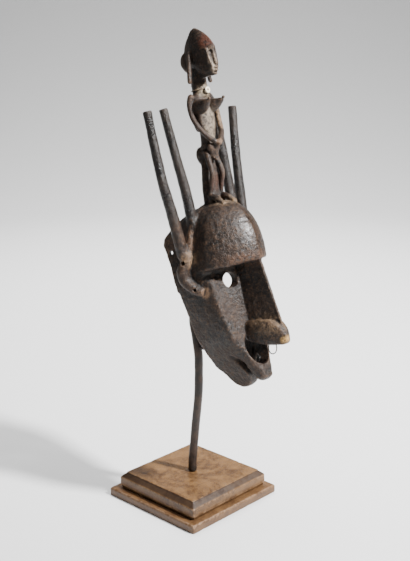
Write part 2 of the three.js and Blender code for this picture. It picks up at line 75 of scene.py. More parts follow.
# Head: heights with the face's front, its half width and how far the cheek's ridge lies behind
BROW_HEIGHT = 18.0
CROWN_HEIGHT = 110.0
BAND_HALF_WIDTH = 64.0
BAND_MIDDLE = -3.5
FACE_FRONT = (
    (-184, -66), (-150, -61), (-130, -56.5), (-112, -51.5), (-90, -48), (-40, -43), (18, -38),
)
FACE_HALF_WIDTH = (
    (-184, 2), (-150, 16.5), (-128, 25.5), (-112, 33.5), (-89, 43.5), (-44, 49), (18, 51),
)
RIDGE_BACK = ((-184, 0), (-150, 1), (-112, 3.5), (-68, 7.5), (-20, 12.5), (18, 16.5))
FACE_MIDDLE_WIDTH = 9.0
CHEEK_DISH = 3.0
CHEEK_ROUND = 6.5
JAW_ROUND = 12.0
HEAD_SHIFT = -5.0
RIGHT_EAR_SHIFT = -2.0
JAW_SHIFT = -7.0
LEFT_FLARE = 25.0
RIGHT_FLARE = 33.0
JAW_FLARE = 6.0
FLARE_POWER = 2.2
WALL = 10.0
FACE_WALL = 14.0
HOLLOW_BOTTOM = -138.0
LIP_ROUNDING = 0.035
LIPS_FROM = 138
LIPS_WHOLE_FROM = 156

# Forehead dome
DOME_SHIFT = -3.0
DOME_HALF_WIDTH = 60.0
DOME_DEPTH = 56.0
DOME_POINT = 1.5
DOME_BACK_DEPTH = 80.0
DOME_BACK = 0.0
DOME_MIDDLE = -28.0
DOME_BOTTOM = 15.0
DOME_TOP = 113.0
DOME_STRAIGHT_TO = 26.0
DOME_ARCH = 2.15
DOME_BROW_RISE = 0.07

# Openings and hollows
DOME_HOLLOW_MIDDLE = (-3, -30, 55)
DOME_HOLLOW_HALF_SIZE = (48, 37, 36)
EYE_SPACING = 46.0
EYES_MIDDLE = -1.0
EYE_HALF_SIZE = (10.6, 11.9)
EYE_INNER_SIZE = (9.5, 10.8)
EYE_HEIGHT = -5.5
MOUTH_MIDDLE = (-7.0, -112.0)
MOUTH_HALF_SIZE = (22.5, 27.5)

# Nose: its widths and the place of its ridge are those at its top, and change downwards by the slopes
NOSE_TOP = 14.0
NOSE_RIDGE_TOP = -82.0
NOSE_RIDGE_SLOPE = 0.208
NOSE_HALF_WIDTH = 8.5
NOSE_WIDENING = 0.075
NOSE_RIDGE_HALF_WIDTH = 2.6

HORN_RADII = (9.0, 8.4, 7.4, 6.6)
HORNS = (
    ((-73, 7, 45), (-85, 1, 113), (-93, 0, 165), (-97, 0, 263)),
    ((-45, 2, 82), (-47.5, 1, 130), (-54, 0, 178), (-64, 0, 264)),
    ((44, -2, 82), (47.5, 1, 135), (46, 0, 190), (44, 0, 259)),
    ((63, 1, 52), (70, 1, 117), (75, 0, 177), (86.5, 0, 257)),
)

NECK_MIDDLE = -20.5
NECK_RADIUS = 12.0
CORD_HEIGHT = 284.0


# Curves and noise

def fade(values, start, end):
    """0 at start, 1 at end, smooth between them."""
    share = np.clip((values - start) / (end - start), 0, 1)
    return share * share * (3 - 2 * share)


def curve_through(places, values):
    """A smooth curve through the values that never swings past them."""
    places = np.asarray(places, float)
    values = np.asarray(values, float)
    gaps = np.diff(places)
    slopes = np.diff(values) / gaps
    tangents = np.zeros(len(places))
    tangents[0] = slopes[0]
    tangents[-1] = slopes[-1]
    for i in range(1, len(places) - 1):
        before, after = slopes[i - 1], slopes[i]
        if before * after > 0:
            near, far = 2 * gaps[i] + gaps[i - 1], gaps[i] + 2 * gaps[i - 1]
            tangents[i] = (near + far) / (near / before + far / after)

    def at(place):
        place = np.clip(place, places[0], places[-1])
        i = np.clip(np.searchsorted(places, place) - 1, 0, len(gaps) - 1)
        gap = gaps[i]
        t = (place - places[i]) / gap
        start = values[i] * (2 * t**3 - 3 * t**2 + 1) + gap * tangents[i] * (t**3 - 2 * t**2 + t)
        end = values[i + 1] * (3 * t**2 - 2 * t**3) + gap * tangents[i + 1] * (t**3 - t**2)
        return start + end

    return at


def smooth_path(stops, steps):
    """Stops of equal length rows turned into a smooth run of rows."""
    stops = np.asarray(stops, float)
    lengths = np.linalg.norm(np.diff(stops[:, :3], axis=0), axis=1)
    travel = np.concatenate([[0], np.cumsum(lengths)])
    wanted = np.linspace(0, travel[-1], steps)
    return np.stack([curve_through(travel, column)(wanted) for column in stops.T], 1)


def lattice_value(cells, seed):
    """A repeatable value from -1 to 1 for each whole-numbered cell."""
    mixed = cells[..., 0] * 73856093 ^ cells[..., 1] * 19349663 ^ cells[..., 2] * 83492791
    mixed = (mixed ^ (seed * 2654435761)) & 0x7FFFFFFF
    mixed = ((mixed >> 13) ^ mixed) * 1274126177 & 0x7FFFFFFF
    mixed = ((mixed >> 16) ^ mixed) & 0xFFFF
    return mixed / 32767.5 - 1


def lumps(points, size, seed):
    """Smooth noise from -1 to 1 whose lumps are about size across."""
    cells = points / np.asarray(size, float)
    base = np.floor(cells).astype(np.int64)
    part = cells - base
    part = part * part * (3 - 2 * part)
    total = np.zeros(len(points))
    for corner in itertools.product((0, 1), repeat=3):
        weight = np.prod(np.where(corner, part, 1 - part), axis=1)
        total += weight * lattice_value(base + corner, seed)
    return total


def scoops(points, size, seed):
    """Distance to the nearest of scattered centres, as a share of the size."""
    cells = points / np.asarray(size, float)
    base = np.floor(cells).astype(np.int64)
    nearest = np.full(len(points), 9.0)
    for step in itertools.product((-1, 0, 1), repeat=3):
        cell = base + step
        jitter = np.stack([lattice_value(cell, seed + i) for i in range(3)], 1)
        centre = cell + 0.5 + 0.4 * jitter
        nearest = np.minimum(nearest, np.sum((cells - centre) ** 2, axis=1))
    return np.sqrt(nearest)


# Signed distances, negative inside the wood

def smooth_min(a, b, blend):
    share = np.clip(0.5 + 0.5 * (b - a) / blend, 0, 1)
    return b * (1 - share) + a * share - blend * share * (1 - share)


def smooth_max(a, b, blend):
    return -smooth_min(-a, -b, blend)


class Form:
    """A signed distance with the box that holds its surface."""

    def __init__(self, distance, low, high):
        self.distance = distance
        self.low = low
        self.high = high


class Field:
    """Signed distances on a grid with fine and coarse stretches."""

    def __init__(self, *axes):
        self.axes = [np.asarray(axis, np.float32) for axis in axes]
        self.values = np.full([len(axis) for axis in axes], 30.0, np.float32)

    def seen(self, form, even):
        """The grid's window round a form, the window's lines and the form's distances there."""
        parts = []
        for axis, start, end in zip(self.axes, form.low, form.high):
            first = max(int(np.searchsorted(axis, start - REACH)) - 1, 0)
            parts.append(slice(first, int(np.searchsorted(axis, end + REACH)) + 1))
        window = tuple(parts)
        x, y, z = (axis[part] for axis, part in zip(self.axes, window))
        lines = x[:, None, None], y[None, :, None], z[None, None, :]
        found = np.broadcast_to(form.distance(*lines), self.values[window].shape).astype(np.float32)
        if even:
            steepness = np.sqrt(sum(slope * slope for slope in np.gradient(found, x, y, z)))
            found = found / np.clip(steepness, 0.3, None)
        return window, lines, found

    def add(self, form, blend=2.0, even=False):
        window, lines, found = self.seen(form, even)
        if callable(blend):
            blend = blend(*lines)
        self.values[window] = smooth_min(self.values[window], found, blend)

    def cut(self, form, blend, even=False):
        window, _, found = self.seen(form, even)
        self.values[window] = smooth_max(self.values[window], -found, blend)


def grid_line(*stretches):
    """Grid lines over stretches of (start, end, step) that follow one another."""
    lines = [np.linspace(start, end, int(round((end - start) / step)), endpoint=False)
             for start, end, step in stretches]
    return np.concatenate(lines)


def carving_grid():
    return (
        grid_line((-108, -34, COARSE), (-34, 34, FINE), (34, 108, COARSE)),
        grid_line((-114, -72, COARSE), (-72, 10, FINE), (10, 66, COARSE)),
        grid_line((-184, 94, COARSE), (94, 380, FINE)),
    )


def oval_distance(*sides):
    """Distance to an ellipse or ellipsoid from pairs of (offset from its middle, half size)."""
    near = np.sqrt(sum((away / half) * (away / half) for away, half in sides))
    steep = np.sqrt(sum((away / half / half) ** 2 for away, half in sides))
    return near * (near - 1) / np.maximum(steep, 1e-4)


def ellipsoid(centre, half_size):
    cx, cy, cz = centre
    a, b, c = half_size

    def distance(x, y, z):
        return oval_distance((x - cx, a), (y - cy, b), (z - cz, c))

    return Form(distance, np.subtract(centre, half_size), np.add(centre, half_size))


def round_limb(stops, steps, flat_end=None):
    """A carved limb through stops of (x, y, z, radius), cut square at its end if asked."""
    rows = smooth_path(stops, steps).astype(np.float32)

    def distance(x, y, z):
        nearest = None
        for start, end in zip(rows[:-1], rows[1:]):
            run = end - start
            px, py, pz = x - start[0], y - start[1], z - start[2]
            t = np.clip((px * run[0] + py * run[1] + pz * run[2]) / np.dot(run[:3], run[:3]), 0, 1)
            away = np.sqrt((px - t * run[0]) ** 2 + (py - t * run[1]) ** 2 + (pz - t * run[2]) ** 2)
            found = away - (start[3] + t * run[3])
            nearest = found if nearest is None else np.minimum(nearest, found)
        if flat_end is None:
            return nearest
        heading = (rows[-1] - rows[-2])[:3]
        heading = heading / np.linalg.norm(heading)
        past = sum((p - q) * h for p, q, h in zip((x, y, z), rows[-1][:3], heading))
        return smooth_max(nearest, past, flat_end)

    places, radii = rows[:, :3], rows[:, 3:]
    return Form(distance, (places - radii).min(0), (places + radii).max(0))


def column(stops, cap=3.0):
    """An upright form through stops of (x, y, z, half width, half depth)."""
    x_line, y_line, heights, widths, depths = np.transpose(stops).tolist()
    across, deep, width, depth = (
        curve_through(heights, values) for values in (x_line, y_line, widths, depths)
    )

    def distance(x, y, z):
        side = oval_distance((x - across(z), width(z)), (y - deep(z), depth(z)))
        return smooth_max(side, np.maximum(heights[0] - z, z - heights[-1]), cap)

    low = (min(np.subtract(x_line, widths)), min(np.subtract(y_line, depths)), heights[0])
    high = (max(np.add(x_line, widths)), max(np.add(y_line, depths)), heights[-1])
    return Form(distance, low, high)


def polygon(points):
    """Signed distance to a closed outline in two coordinates."""
    points = np.asarray(points, float)

    def distance(p, q):
        nearest = np.full(np.broadcast(p, q).shape, 1e9)
        inside = np.zeros(nearest.shape, bool)
        for start, end in zip(points, np.roll(points, -1, axis=0)):
            run = end - start
            dp, dq = p - start[0], q - start[1]
            t = np.clip((dp * run[0] + dq * run[1]) / np.dot(run, run), 0, 1)
            nearest = np.minimum(nearest, (dp - t * run[0]) ** 2 + (dq - t * run[1]) ** 2)
            crosses = (start[1] > q) != (end[1] > q)
            with np.errstate(divide="ignore", invalid="ignore"):
                at = start[0] + (q - start[1]) * run[0] / run[1]
            inside ^= crosses & (p < at)
        return np.where(inside, -1, 1) * np.sqrt(nearest)

    return distance


def bend(start, middle, end):
    """Seven points along a quadratic curve, with its start left out."""
    t = np.linspace(0, 1, 8)[1:, None]
    start, middle, end = (np.asarray(p, float) for p in (start, middle, end))
    return ((1 - t) ** 2 * start + 2 * t * (1 - t) * middle + t**2 * end).tolist()


def side_profile():
    """The head from the side in y and z: the lips with the slit between them, the chin and the rim."""
    outline = [(-130, 150), (-130, -148), (-68, -150)]
    outline += bend((-68, -150), (-64, -165), (-54, -167))
    outline += bend((-54, -167), (-43, -168), (-42.5, -160))
    outline += [(-43, -152), (-39, -143), (-34, -134), (-27, -128)]
    outline += [(-29, -136), (-32, -145), (-34.5, -154)]
    outline += bend((-34.5, -154), (-34, -166), (-28, -172))
    outline += bend((-28, -172), (-20, -178), (-8, -178))
    outline += bend((-8, -178), (6, -176), (14, -161))
    outline += bend((14, -161), (25, -145), (27, -118))
    outline += [(30, -80), (28, -40), (28, -14), (31, -10), (33, 28), (39, 47)]
    outline += [(48, 62), (49, 71), (40, 86), (10, 116), (0, 150)]
    return outline


face_front = curve_through(*zip(*FACE_FRONT))
face_half_width = curve_through(*zip(*FACE_HALF_WIDTH))
ridge_back = curve_through(*zip(*RIDGE_BACK))


def head_middle(z):
    return HEAD_SHIFT + (JAW_SHIFT - HEAD_SHIFT) * fade(-z, 0, 110)


def head_shell(inset, face_inset, back):
    """The head without its dome: a front that falls back to the cheeks' ridges, and flaring sides."""
    def distance(x, y, z):
        drop = np.maximum(BROW_HEIGHT - z, 0)
        rise = np.maximum(z - BROW_HEIGHT, 0) / (CROWN_HEIGHT - inset - BROW_HEIGHT)
        whole = face_half_width(z)
        width = np.maximum(whole - inset, 2.0)
        away = np.abs(x - head_middle(z))
        to_ridge = np.clip((away - FACE_MIDDLE_WIDTH) / (whole - FACE_MIDDLE_WIDTH + 1e-6), 0, 1.2)
        dish = CHEEK_DISH * 4 * to_ridge * np.clip(1 - to_ridge, 0, 1) * fade(z, -135, -90)
        front = face_front(z) + face_inset + ridge_back(z) * to_ridge
        front = front + (dish if inset == 0 else 0)
        ridge = face_front(z) + face_inset + ridge_back(z)
        depth_share = np.clip((y - ridge) / (back - ridge), 0, 1)
        widest = np.where(x < head_middle(z), LEFT_FLARE, RIGHT_FLARE)
        most = widest + (JAW_FLARE - widest) * fade(drop, 10, 110)
        flare = most * (1 - (1 - depth_share) ** FLARE_POWER) * np.clip(width / 20, 0, 1)
        around = np.sqrt(((x - head_middle(z)) / (width + flare)) ** 2 + rise * rise)
        side = (around - 1) * width
        round_edge = CHEEK_ROUND + (JAW_ROUND - CHEEK_ROUND) * fade(drop, 85, 140)
        corner = np.minimum(round_edge + face_inset * 0.5, 0.6 * width)
        beside = side + corner
        before = front + corner - y
        outside = np.sqrt(np.maximum(beside, 0) ** 2 + np.maximum(before, 0) ** 2)
        return outside + np.minimum(np.maximum(beside, before), 0) - corner

    return distance


def dome_distance(x, y, z):
    share = np.clip((z - DOME_BOTTOM) / (DOME_TOP - DOME_BOTTOM), 0, 1)
    level = z - DOME_BROW_RISE * np.maximum(0, DOME_MIDDLE - y) * (1 - share)
    forward = y < DOME_MIDDLE
    power = np.where(forward, DOME_POINT, 2.0)
    depth = np.where(forward, DOME_DEPTH, DOME_BACK_DEPTH)
    u = np.abs(x - DOME_SHIFT) / DOME_HALF_WIDTH
    v = np.abs(y - DOME_MIDDLE) / depth
    plan = (u**power + v**power + 1e-9) ** (1 / power)
    rise = np.maximum(0, level - DOME_STRAIGHT_TO) / (DOME_TOP - DOME_STRAIGHT_TO)
    around = (plan**DOME_ARCH + rise**DOME_ARCH) ** (1 / DOME_ARCH)
    body = smooth_max((around - 1) * DOME_DEPTH, DOME_BOTTOM - level, 5.0)
    return smooth_max(body, y - DOME_BACK, 3.0)


def dome_blend(x, y, z):
    """Sharp at the brow, soft where the dome runs into the temples."""
    return 2.5 + 7 * fade(y, -44, -32)


def bore(x0, z0, half_width, half_height, start, end, narrowing=0.0):
    """A straight oval hole along y that can narrow towards the back."""
    def distance(x, y, z):
        share = 1 - narrowing * np.clip((y - start) / (end - start), 0, 1)
        side = oval_distance((x - x0, half_width * share), (z - z0, half_height * share))
        return np.maximum(side, np.maximum(start - y, y - end))

    low = (x0 - half_width, start, z0 - half_height)
    high = (x0 + half_width, end, z0 + half_height)
    return Form(distance, low, high)


# The box of the holes on a side, and where a slanted one crosses its place
HOLES_INNER = 54
HOLES_OUTER = 98
HOLES_LOW = (-28, -18)
HOLES_HIGH = (42, 62)
HOLES_CROSS = 78


def side_hole(y0, z0, radius, side, slant, inner):
    """A round hole through an ear or the rim, level or slanted towards the back, as far in as inner."""
    def distance(x, y, z):
        away = (side * x - HOLES_CROSS) * math.sin(slant) + (y - y0) * math.cos(slant)
        return np.maximum(np.sqrt(away**2 + (z - z0) ** 2) - radius, inner - side * x)

    ends = sorted((side * HOLES_INNER, side * HOLES_OUTER))
    return Form(distance, (ends[0], *HOLES_LOW), (ends[1], *HOLES_HIGH))


def nose_bridge():
    def distance(x, y, z):
        ridge = NOSE_RIDGE_TOP - NOSE_RIDGE_SLOPE * (NOSE_TOP - z)
        foot = NOSE_HALF_WIDTH + NOSE_WIDENING * (NOSE_TOP - z)
        along = np.clip((y - ridge - 3) / (-44 - ridge - 3), 0, 1)
        half = NOSE_RIDGE_HALF_WIDTH + (foot - NOSE_RIDGE_HALF_WIDTH) * along
        sides = smooth_max((np.abs(x) - half) * 0.93, ridge - y, 2.0)
        ends = np.maximum(np.maximum(z - 24, -95 - z), y + 32)
        return smooth_max(sides, ends, 2.0)

    return Form(distance, (-16, -106, -97), (16, -30, 26))


# Stops of (place along y, half width, top, bottom)
NOSE_WINGS = (
    (-108, 3.5, -99, -109),
    (-105, 7, -90, -111.5),
    (-97, 11.5, -80, -113),
    (-85, 15.5, -73.5, -112.5),
    (-70, 18.5, -71.5, -111),
    (-56, 20.5, -71, -108),
    (-46, 21, -70.5, -105.5),
    (-38, 19, -73.5, -102.5),
)


def nose_wings():
    places, *columns = np.transpose(NOSE_WINGS).tolist()
    half_width, top, bottom = (curve_through(places, values) for values in columns)

    def distance(x, y, z):
        middle = (top(y) + bottom(y)) / 2
        half_height = (top(y) - bottom(y)) / 2
        u = np.abs(x) / half_width(y)
        v = np.abs(z - middle) / half_height
        around = (u**4.5 + v**4.0 + 1e-9) ** (1 / 4.2)
        side = (around - 1) * half_height
        return smooth_max(side, np.maximum(places[0] - y, y - places[-1]), 2.0)

    return Form(distance, (-27, -110, -114), (27, -36, -68))


def carve_head(field):
    outline = polygon(side_profile())
    shell = head_shell(0, 0, 60)
    hollow = head_shell(WALL, FACE_WALL, 80)
    low = (-90, -70, -182)
    high = (90, 62, 112)

    def inner(x, y, z):
        return smooth_max(hollow(x, y, z), HOLLOW_BOTTOM - z, 6.0)

    def beyond_outline(x, y, z):
        return -outline(y, z)

    def beyond_lips(x, y, z):
        lift = LIP_ROUNDING * (x - head_middle(z)) ** 2 * fade(-z, LIPS_FROM, LIPS_WHOLE_FROM)
        return -outline(y, z - lift)

    field.add(Form(shell, low, high), blend=0.5, even=True)
    field.cut(Form(beyond_outline, low, high), blend=2.0)
    field.cut(Form(beyond_lips, (-30, -70, -182), (18, 30, -140)), blend=2.0)
    field.add(Form(dome_distance, (-68, -84, 8), (66, 10, 116)), blend=dome_blend, even=True)
    for side in SIDES:
        field.add(round_limb(ear_stops(side), 20, flat_end=4.0), blend=2.2)
    field.add(round_limb(band_stops(), 26), blend=3.0)
    for horn in HORNS:
        stops = [(*stop, radius) for stop, radius in zip(horn, HORN_RADII)]
        field.add(round_limb(stops, 16, flat_end=2.0), blend=3.5)
    field.cut(Form(inner, low, high), blend=3.0, even=True)
    field.cut(ellipsoid(DOME_HOLLOW_MIDDLE, DOME_HOLLOW_HALF_SIZE), blend=6.0)
    for side in SIDES:
        cut_eye(field, EYES_MIDDLE + side * EYE_SPACING / 2)
    field.cut(bore(*MOUTH_MIDDLE, *MOUTH_HALF_SIZE, -80, -20), blend=2.5)
    for side in SIDES:
        for y, z, radius, slant, inner_end in EAR_HOLES:
            field.cut(side_hole(y, z, radius, side, slant, inner_end), blend=1.2)
    for side in SIDES:
        cut_lip_groove(field, side)


def cut_eye(field, middle):
    narrowing = 1 - EYE_INNER_SIZE[0] / EYE_HALF_SIZE[0]
    field.cut(bore(middle, EYE_HEIGHT, *EYE_HALF_SIZE, -46, -18, narrowing), blend=2.0)
    field.cut(bore(middle, EYE_HEIGHT, *EYE_INNER_SIZE, -70, 0), blend=1.0)


# Stops of (y, z, radius)
LIP_GROOVE = ((-36, -139, 4.6), (-31, -132, 4.4), (-26, -127, 3.4), (-20, -122, 1.8))


def cut_lip_groove(field, side):
    """The slit between the lips runs out as a shallow groove up the jaw's side."""
    stops = [(float(side * (face_half_width(z) + 3.0) + head_middle(z)), y, z, radius)
             for y, z, radius in LIP_GROOVE]
    field.cut(round_limb(stops, 10), blend=3.5)


# Stops of (x, y, z, radius) down an ear, and its holes and the rim's: y, z, radius, slant, inner end
EAR = (
    (64.3, 1.4, 39.5, 8.4), (67.9, 5.3, 29.5, 9.2), (70.2, 9.9, 19.6, 10.2), (69.6, 10.6, 8.5, 10),
    (67.4, 5.3, -1.5, 9), (64.5, -1.3, -8.7, 8), (61.4, -8.2, -13.9, 7), (58.4, -13.2, -16, 6.2),
)
EAR_HOLES = (
    (3, 32.4, 2.9, 0, 65),
    (28, 50, 3.3, math.radians(31), 50),
    (-5.5, -10, 2.3, 0, 60),
)


def ear_stops(side):
    shift = HEAD_SHIFT if side < 0 else RIGHT_EAR_SHIFT
    return [(shift + side * x, *rest) for x, *rest in EAR]


def band_stops():
    stops = []
    for i in range(15):
        angle = math.pi * (0.1 + 0.8 * i / 14)
        x = BAND_MIDDLE - BAND_HALF_WIDTH * math.cos(angle)
        z = BROW_HEIGHT + (CROWN_HEIGHT - 1 - BROW_HEIGHT) * math.sin(angle)
        stops.append((x, 0, z, 5.5))
    return stops


def carve_nose(field):
    field.add(nose_bridge(), blend=3.0)
    field.add(nose_wings(), blend=2.0, even=True)


# The standing figure. Upright forms are stops of (x, y, z, half width, half depth)

POST = ((0, -5, 96, 18, 11), (0, -5, 130, 16.5, 9.5), (0, -8.5, 165, 13.5, 8.5), (0, -10, 192, 11, 8))
WEB = ((5, -9, 113, 14, 6.5), (5, -9, 132, 14, 7), (5, -12, 157, 13, 8), (0, -12, 180, 11, 8))
BESIDE_ARMS = (
    (0, -13, 222, 15, 3), (0, -13.5, 236, 20.5, 3.2), (0, -14, 262, 22, 3.5), (0, -16, 272, 18, 3.5),
)
BODY = (
    (0, -12, 180, 11, 9), (0, -14, 192, 12, 10), (0, -17, 204, 12, 10), (0, -20, 218, 14, 9.5),
    (0, -22, 232, 16.5, 9), (0, -22, 248, 18, 9.5), (0, -21.5, 262, 19, 10), (0, -21, 272, 19.5, 9.5),
    (0, -20.5, 280, 14, 8.5),
)
APRON = ((0, -22, 178, 4, 4.5), (0, -25, 187, 9, 6), (0, -27, 196, 12, 7), (0, -28, 202, 12, 6))
APRON_KNOBS = ((-3.5, 181), (1, 178), (4, 184))
BUN = (
    (0, -8, 312, 5, 6), (0, -5, 319, 8, 8), (0, -3, 328, 9.5, 9.5), (0, -4, 335, 9.5, 9),
    (0, -8, 343, 8, 6),
)

# Limbs are stops of (x, y, z, radius), the first ones for the side where x is positive
LEG = (
    (8, -18, 190, 5.4), (9.5, -21, 176, 4.7), (10.7, -24.5, 163, 4.3), (11, -25, 157, 4.2),
    (11.2, -20.5, 144, 3.7), (11.6, -15.5, 131, 3.5), (11.8, -14, 124, 3.9),
)
FOOT = ((12, -13, 124, 4.4), (12.2, -25, 119.5, 4.5), (12.6, -38, 110, 4.1))
BREAST = (
    (11, -20, 259.5, 12.5), (11.8, -30, 260, 10.8), (13.8, -42, 263.5, 6.2), (15.2, -49.5, 266.8, 2.6),
)
BREAST_KEEL = ((10, -25, 253, 4.6), (12.6, -37, 257.5, 3.4), (14.4, -46, 263.5, 2.2))
EYE_SCOOP = ((5.8, -61.5, 334, 3.2), (5.4, -62.5, 325, 3.7), (4.6, -63.5, 316, 2.6))
BRAID = (
    (12, -23, 341, 1.8), (14.5, -23.5, 332, 2.9), (17, -24, 322, 3.5), (20, -24, 309, 3.5),
    (22.5, -24, 296.5, 3.2),
)
LEFT_ARM = (
    (-20, -18, 274, 5.2), (-23.2, -16.5, 266, 4.6), (-24, -16, 256, 4.2), (-24, -18, 244, 4.0),
    (-22, -23, 231, 4.0), (-16, -28.5, 218, 3.9), (-9.5, -33, 209, 3.9), (-3.5, -37, 203, 4.0),
)
RIGHT_ARM = (
    (20, -18, 274, 5.2), (24.5, -19.5, 264, 5.0), (27, -21, 250, 4.7), (26.5, -22.5, 236, 4.6),
    (22, -28, 221, 4.4), (12, -35, 209, 4.2), (4, -38, 203, 4.2),
)
NOSE = ((0, -60, 339, 2.0), (0, -62, 326, 2.1), (0, -63.5, 317, 3.0))
CREST = ((0, -30, 373.5, 1.8), (0, -45, 364.5, 2.4), (0, -58, 351, 2.4), (0, -64, 342, 2.0))
# Lips and chin: height, place of the front, half width
LIPS = ((310.5, -63.5, 4.2), (306, -62.5, 4.6), (301.5, -59.5, 4.4))
# Head levels: height, front, back, half width
FIGURE_HEAD = (
    (300, -57, -46, 4.5), (306, -60, -32, 8.5), (314, -62, -16, 11), (324, -63, -6, 12.5),
    (333, -64, -3, 12.5), (340, -65.5, -3.5, 12), (349, -60, -5, 10.5), (358, -53, -10, 8),
    (365, -46, -16, 5.5), (371, -39.5, -21, 3.4), (374.5, -34, -26, 1.6),
)
# Flat face: heights, half widths and fronts
FACE_BLOCK = ((300, 306, 315, 326, 338), (4.5, 6.0, 8.0, 9.8, 11.0), (-57, -60, -61.5, -60.5, -58.5))


def mirrored(stops, side):
    return [(side * x, *rest) for x, *rest in stops]


def carve_figure(field):
    field.add(column(POST))
    field.add(column(WEB), blend=1.0)
    field.add(column(BESIDE_ARMS))
    field.add(column(BODY, cap=4.0))
    field.add(column(APRON), blend=2.5)
    for x, z in APRON_KNOBS:
        field.add(ellipsoid((x, -26.5, z), (2.4, 2.6, 2.4)), blend=1.0)
    for side in SIDES:
        carve_leg(field, side)
    for arm in (LEFT_ARM, RIGHT_ARM):
        field.add(round_limb(arm, 26), blend=1.2)
    for side in SIDES:
        carve_breast(field, side)
    clasped_hands = ellipsoid((0, -40.5, 201.5), (4.6, 4.4, 4.6))
    field.add(clasped_hands, blend=1.0)
    carve_neck_and_head(field)


def carve_leg(field, side):
    field.add(round_limb(mirrored(LEG, side), 20), blend=1.2)
    buttock = ellipsoid((side * 5.5, -3.5, 187), (8, 8, 13))
    field.add(buttock, blend=5.0)
    field.add(round_limb(mirrored(FOOT, side), 10), blend=1.2)
    heel = ellipsoid((side * 12, -15, 117), (4.5, 5, 8))
    field.add(heel, blend=2.5)
    for toe in range(5):
        x = side * 12.6 + (toe - 2) * 1.75 - 0.9
        crease = [(x, -47, 108.5, 0.5), (x, -37, 115.5, 0.5)]
        field.cut(round_limb(crease, 3), blend=0.6)


def carve_breast(field, side):
    """A cone with a level top and a keeled underside that rises to the nipple."""
    cone = round_limb(mirrored(BREAST, side), 16)
    keel = round_limb(mirrored(BREAST_KEEL, side), 12)

    def distance(x, y, z):
        whole = smooth_min(cone.distance(x, y, z), keel.distance(x, y, z), 5.0)
        return smooth_max(whole, z - 269.5 - 0.1 * (y + 20), 3.0)

    field.add(Form(distance, cone.low, cone.high), blend=1.2)
    nipple = ellipsoid((side * 15.4, -51, 266.8), (2.3, 2.6, 2.3))
    field.add(nipple, blend=1.0)


def face_block():
    """The flat front of the figure's face, narrow at the chin."""
    heights, half_widths, fronts = FACE_BLOCK
    half_width = curve_through(heights, half_widths)
    front = curve_through(heights, fronts)

    def distance(x, y, z):
        sides = smooth_max(np.abs(x) - half_width(z), front(z) - y, 2.5)
        return smooth_max(sides, np.maximum(np.maximum(z - 340, 300 - z), y + 32), 1.5)

    return Form(distance, (-13, -64, 299), (13, -30, 342))


def carve_neck_and_head(field):
    neck = [
        (0, NECK_MIDDLE, 272, NECK_RADIUS, NECK_RADIUS),
        (0, NECK_MIDDLE, 290, NECK_RADIUS, NECK_RADIUS),
        (0, -24, 316, 11, 11),
    ]
    field.add(column(neck), blend=1.5)
    levels = [(0, (front + back) / 2, z, half_width, (back - front) / 2)
              for z, front, back, half_width in FIGURE_HEAD]
    field.add(column(levels, cap=1.5), blend=1.5, even=True)
    field.add(face_block())
    for side in SIDES:
        field.cut(round_limb(mirrored(EYE_SCOOP, side), 8), blend=1.2)
    field.add(round_limb(NOSE, 8), blend=1.0)
    for z, front, width in LIPS:
        lip = [(-width, front + 6, z + 1.5, 1.7), (0, front, z, 2.0), (width, front + 6, z + 1.5, 1.7)]
        field.add(round_limb(lip, 8), blend=0.7)
    field.add(round_limb(CREST, 10), blend=1.5)
    field.add(column(BUN), blend=2.5)
    for side in SIDES:
        field.add(round_limb(mirrored(BRAID, side), 14), blend=1.0)


# From distances to a mesh

def skin(field):
    """Vertices and four-sided faces of the surface where the distance is zero."""
    values = field.values
    inside = values < 0
    corners = list(itertools.product((0, 1), repeat=3))
    shape = tuple(n - 1 for n in values.shape)

    def shifted(array, corner):
        return array[tuple(slice(c, c + n) for c, n in zip(corner, shape))]

    filled = sum(shifted(inside, corner).astype(np.int8) for corner in corners)
    crossed = (filled > 0) & (filled < 8)
    cells = np.argwhere(crossed)
    number = np.full(shape, -1, np.int32)
    number[crossed] = np.arange(len(cells), dtype=np.int32)
    total = np.zeros((len(cells), 3))
    count = np.zeros(len(cells))
    for axis in range(3):
        step = np.eye(3, dtype=int)[axis]
        for corner in corners:
            if corner[axis]:
                continue
            start = values[tuple((cells + corner).T)]
            end = values[tuple((cells + corner + step).T)]
            crosses = (start < 0) != (end < 0)
            share = np.where(crosses, start / np.where(crosses, start - end, 1), 0)
            place = np.asarray(corner, float)[None] + share[:, None] * step
            total += np.where(crosses[:, None], place, 0)
            count += crosses
    at = cells + total / count[:, None]
    vertices = np.stack([np.interp(at[:, i], np.arange(len(line)), line)
                         for i, line in enumerate(field.axes)], 1)
    faces = []
    for axis in range(3):
        one, two = [i for i in range(3) if i != axis]
        first = tuple(slice(1, -1) if i != axis else slice(0, -1) for i in range(3))
        second = tuple(slice(1, -1) if i != axis else slice(1, None) for i in range(3))
        change = inside[first] != inside[second]
        edges = np.argwhere(change)
        edges[:, one] += 1
        edges[:, two] += 1
        ring = []
        for back_one, back_two in ((1, 1), (0, 1), (0, 0), (1, 0)):
            cell = edges.copy()
            cell[:, one] -= back_one
            cell[:, two] -= back_two
            ring.append(number[tuple(cell.T)])
        ring = np.stack(ring, 1)
        leaves = inside[tuple(edges.T)]
        if axis == 1:
            leaves = ~leaves
        ring[~leaves] = ring[~leaves][:, ::-1]
        faces.append(ring)
    return vertices, np.concatenate(faces)


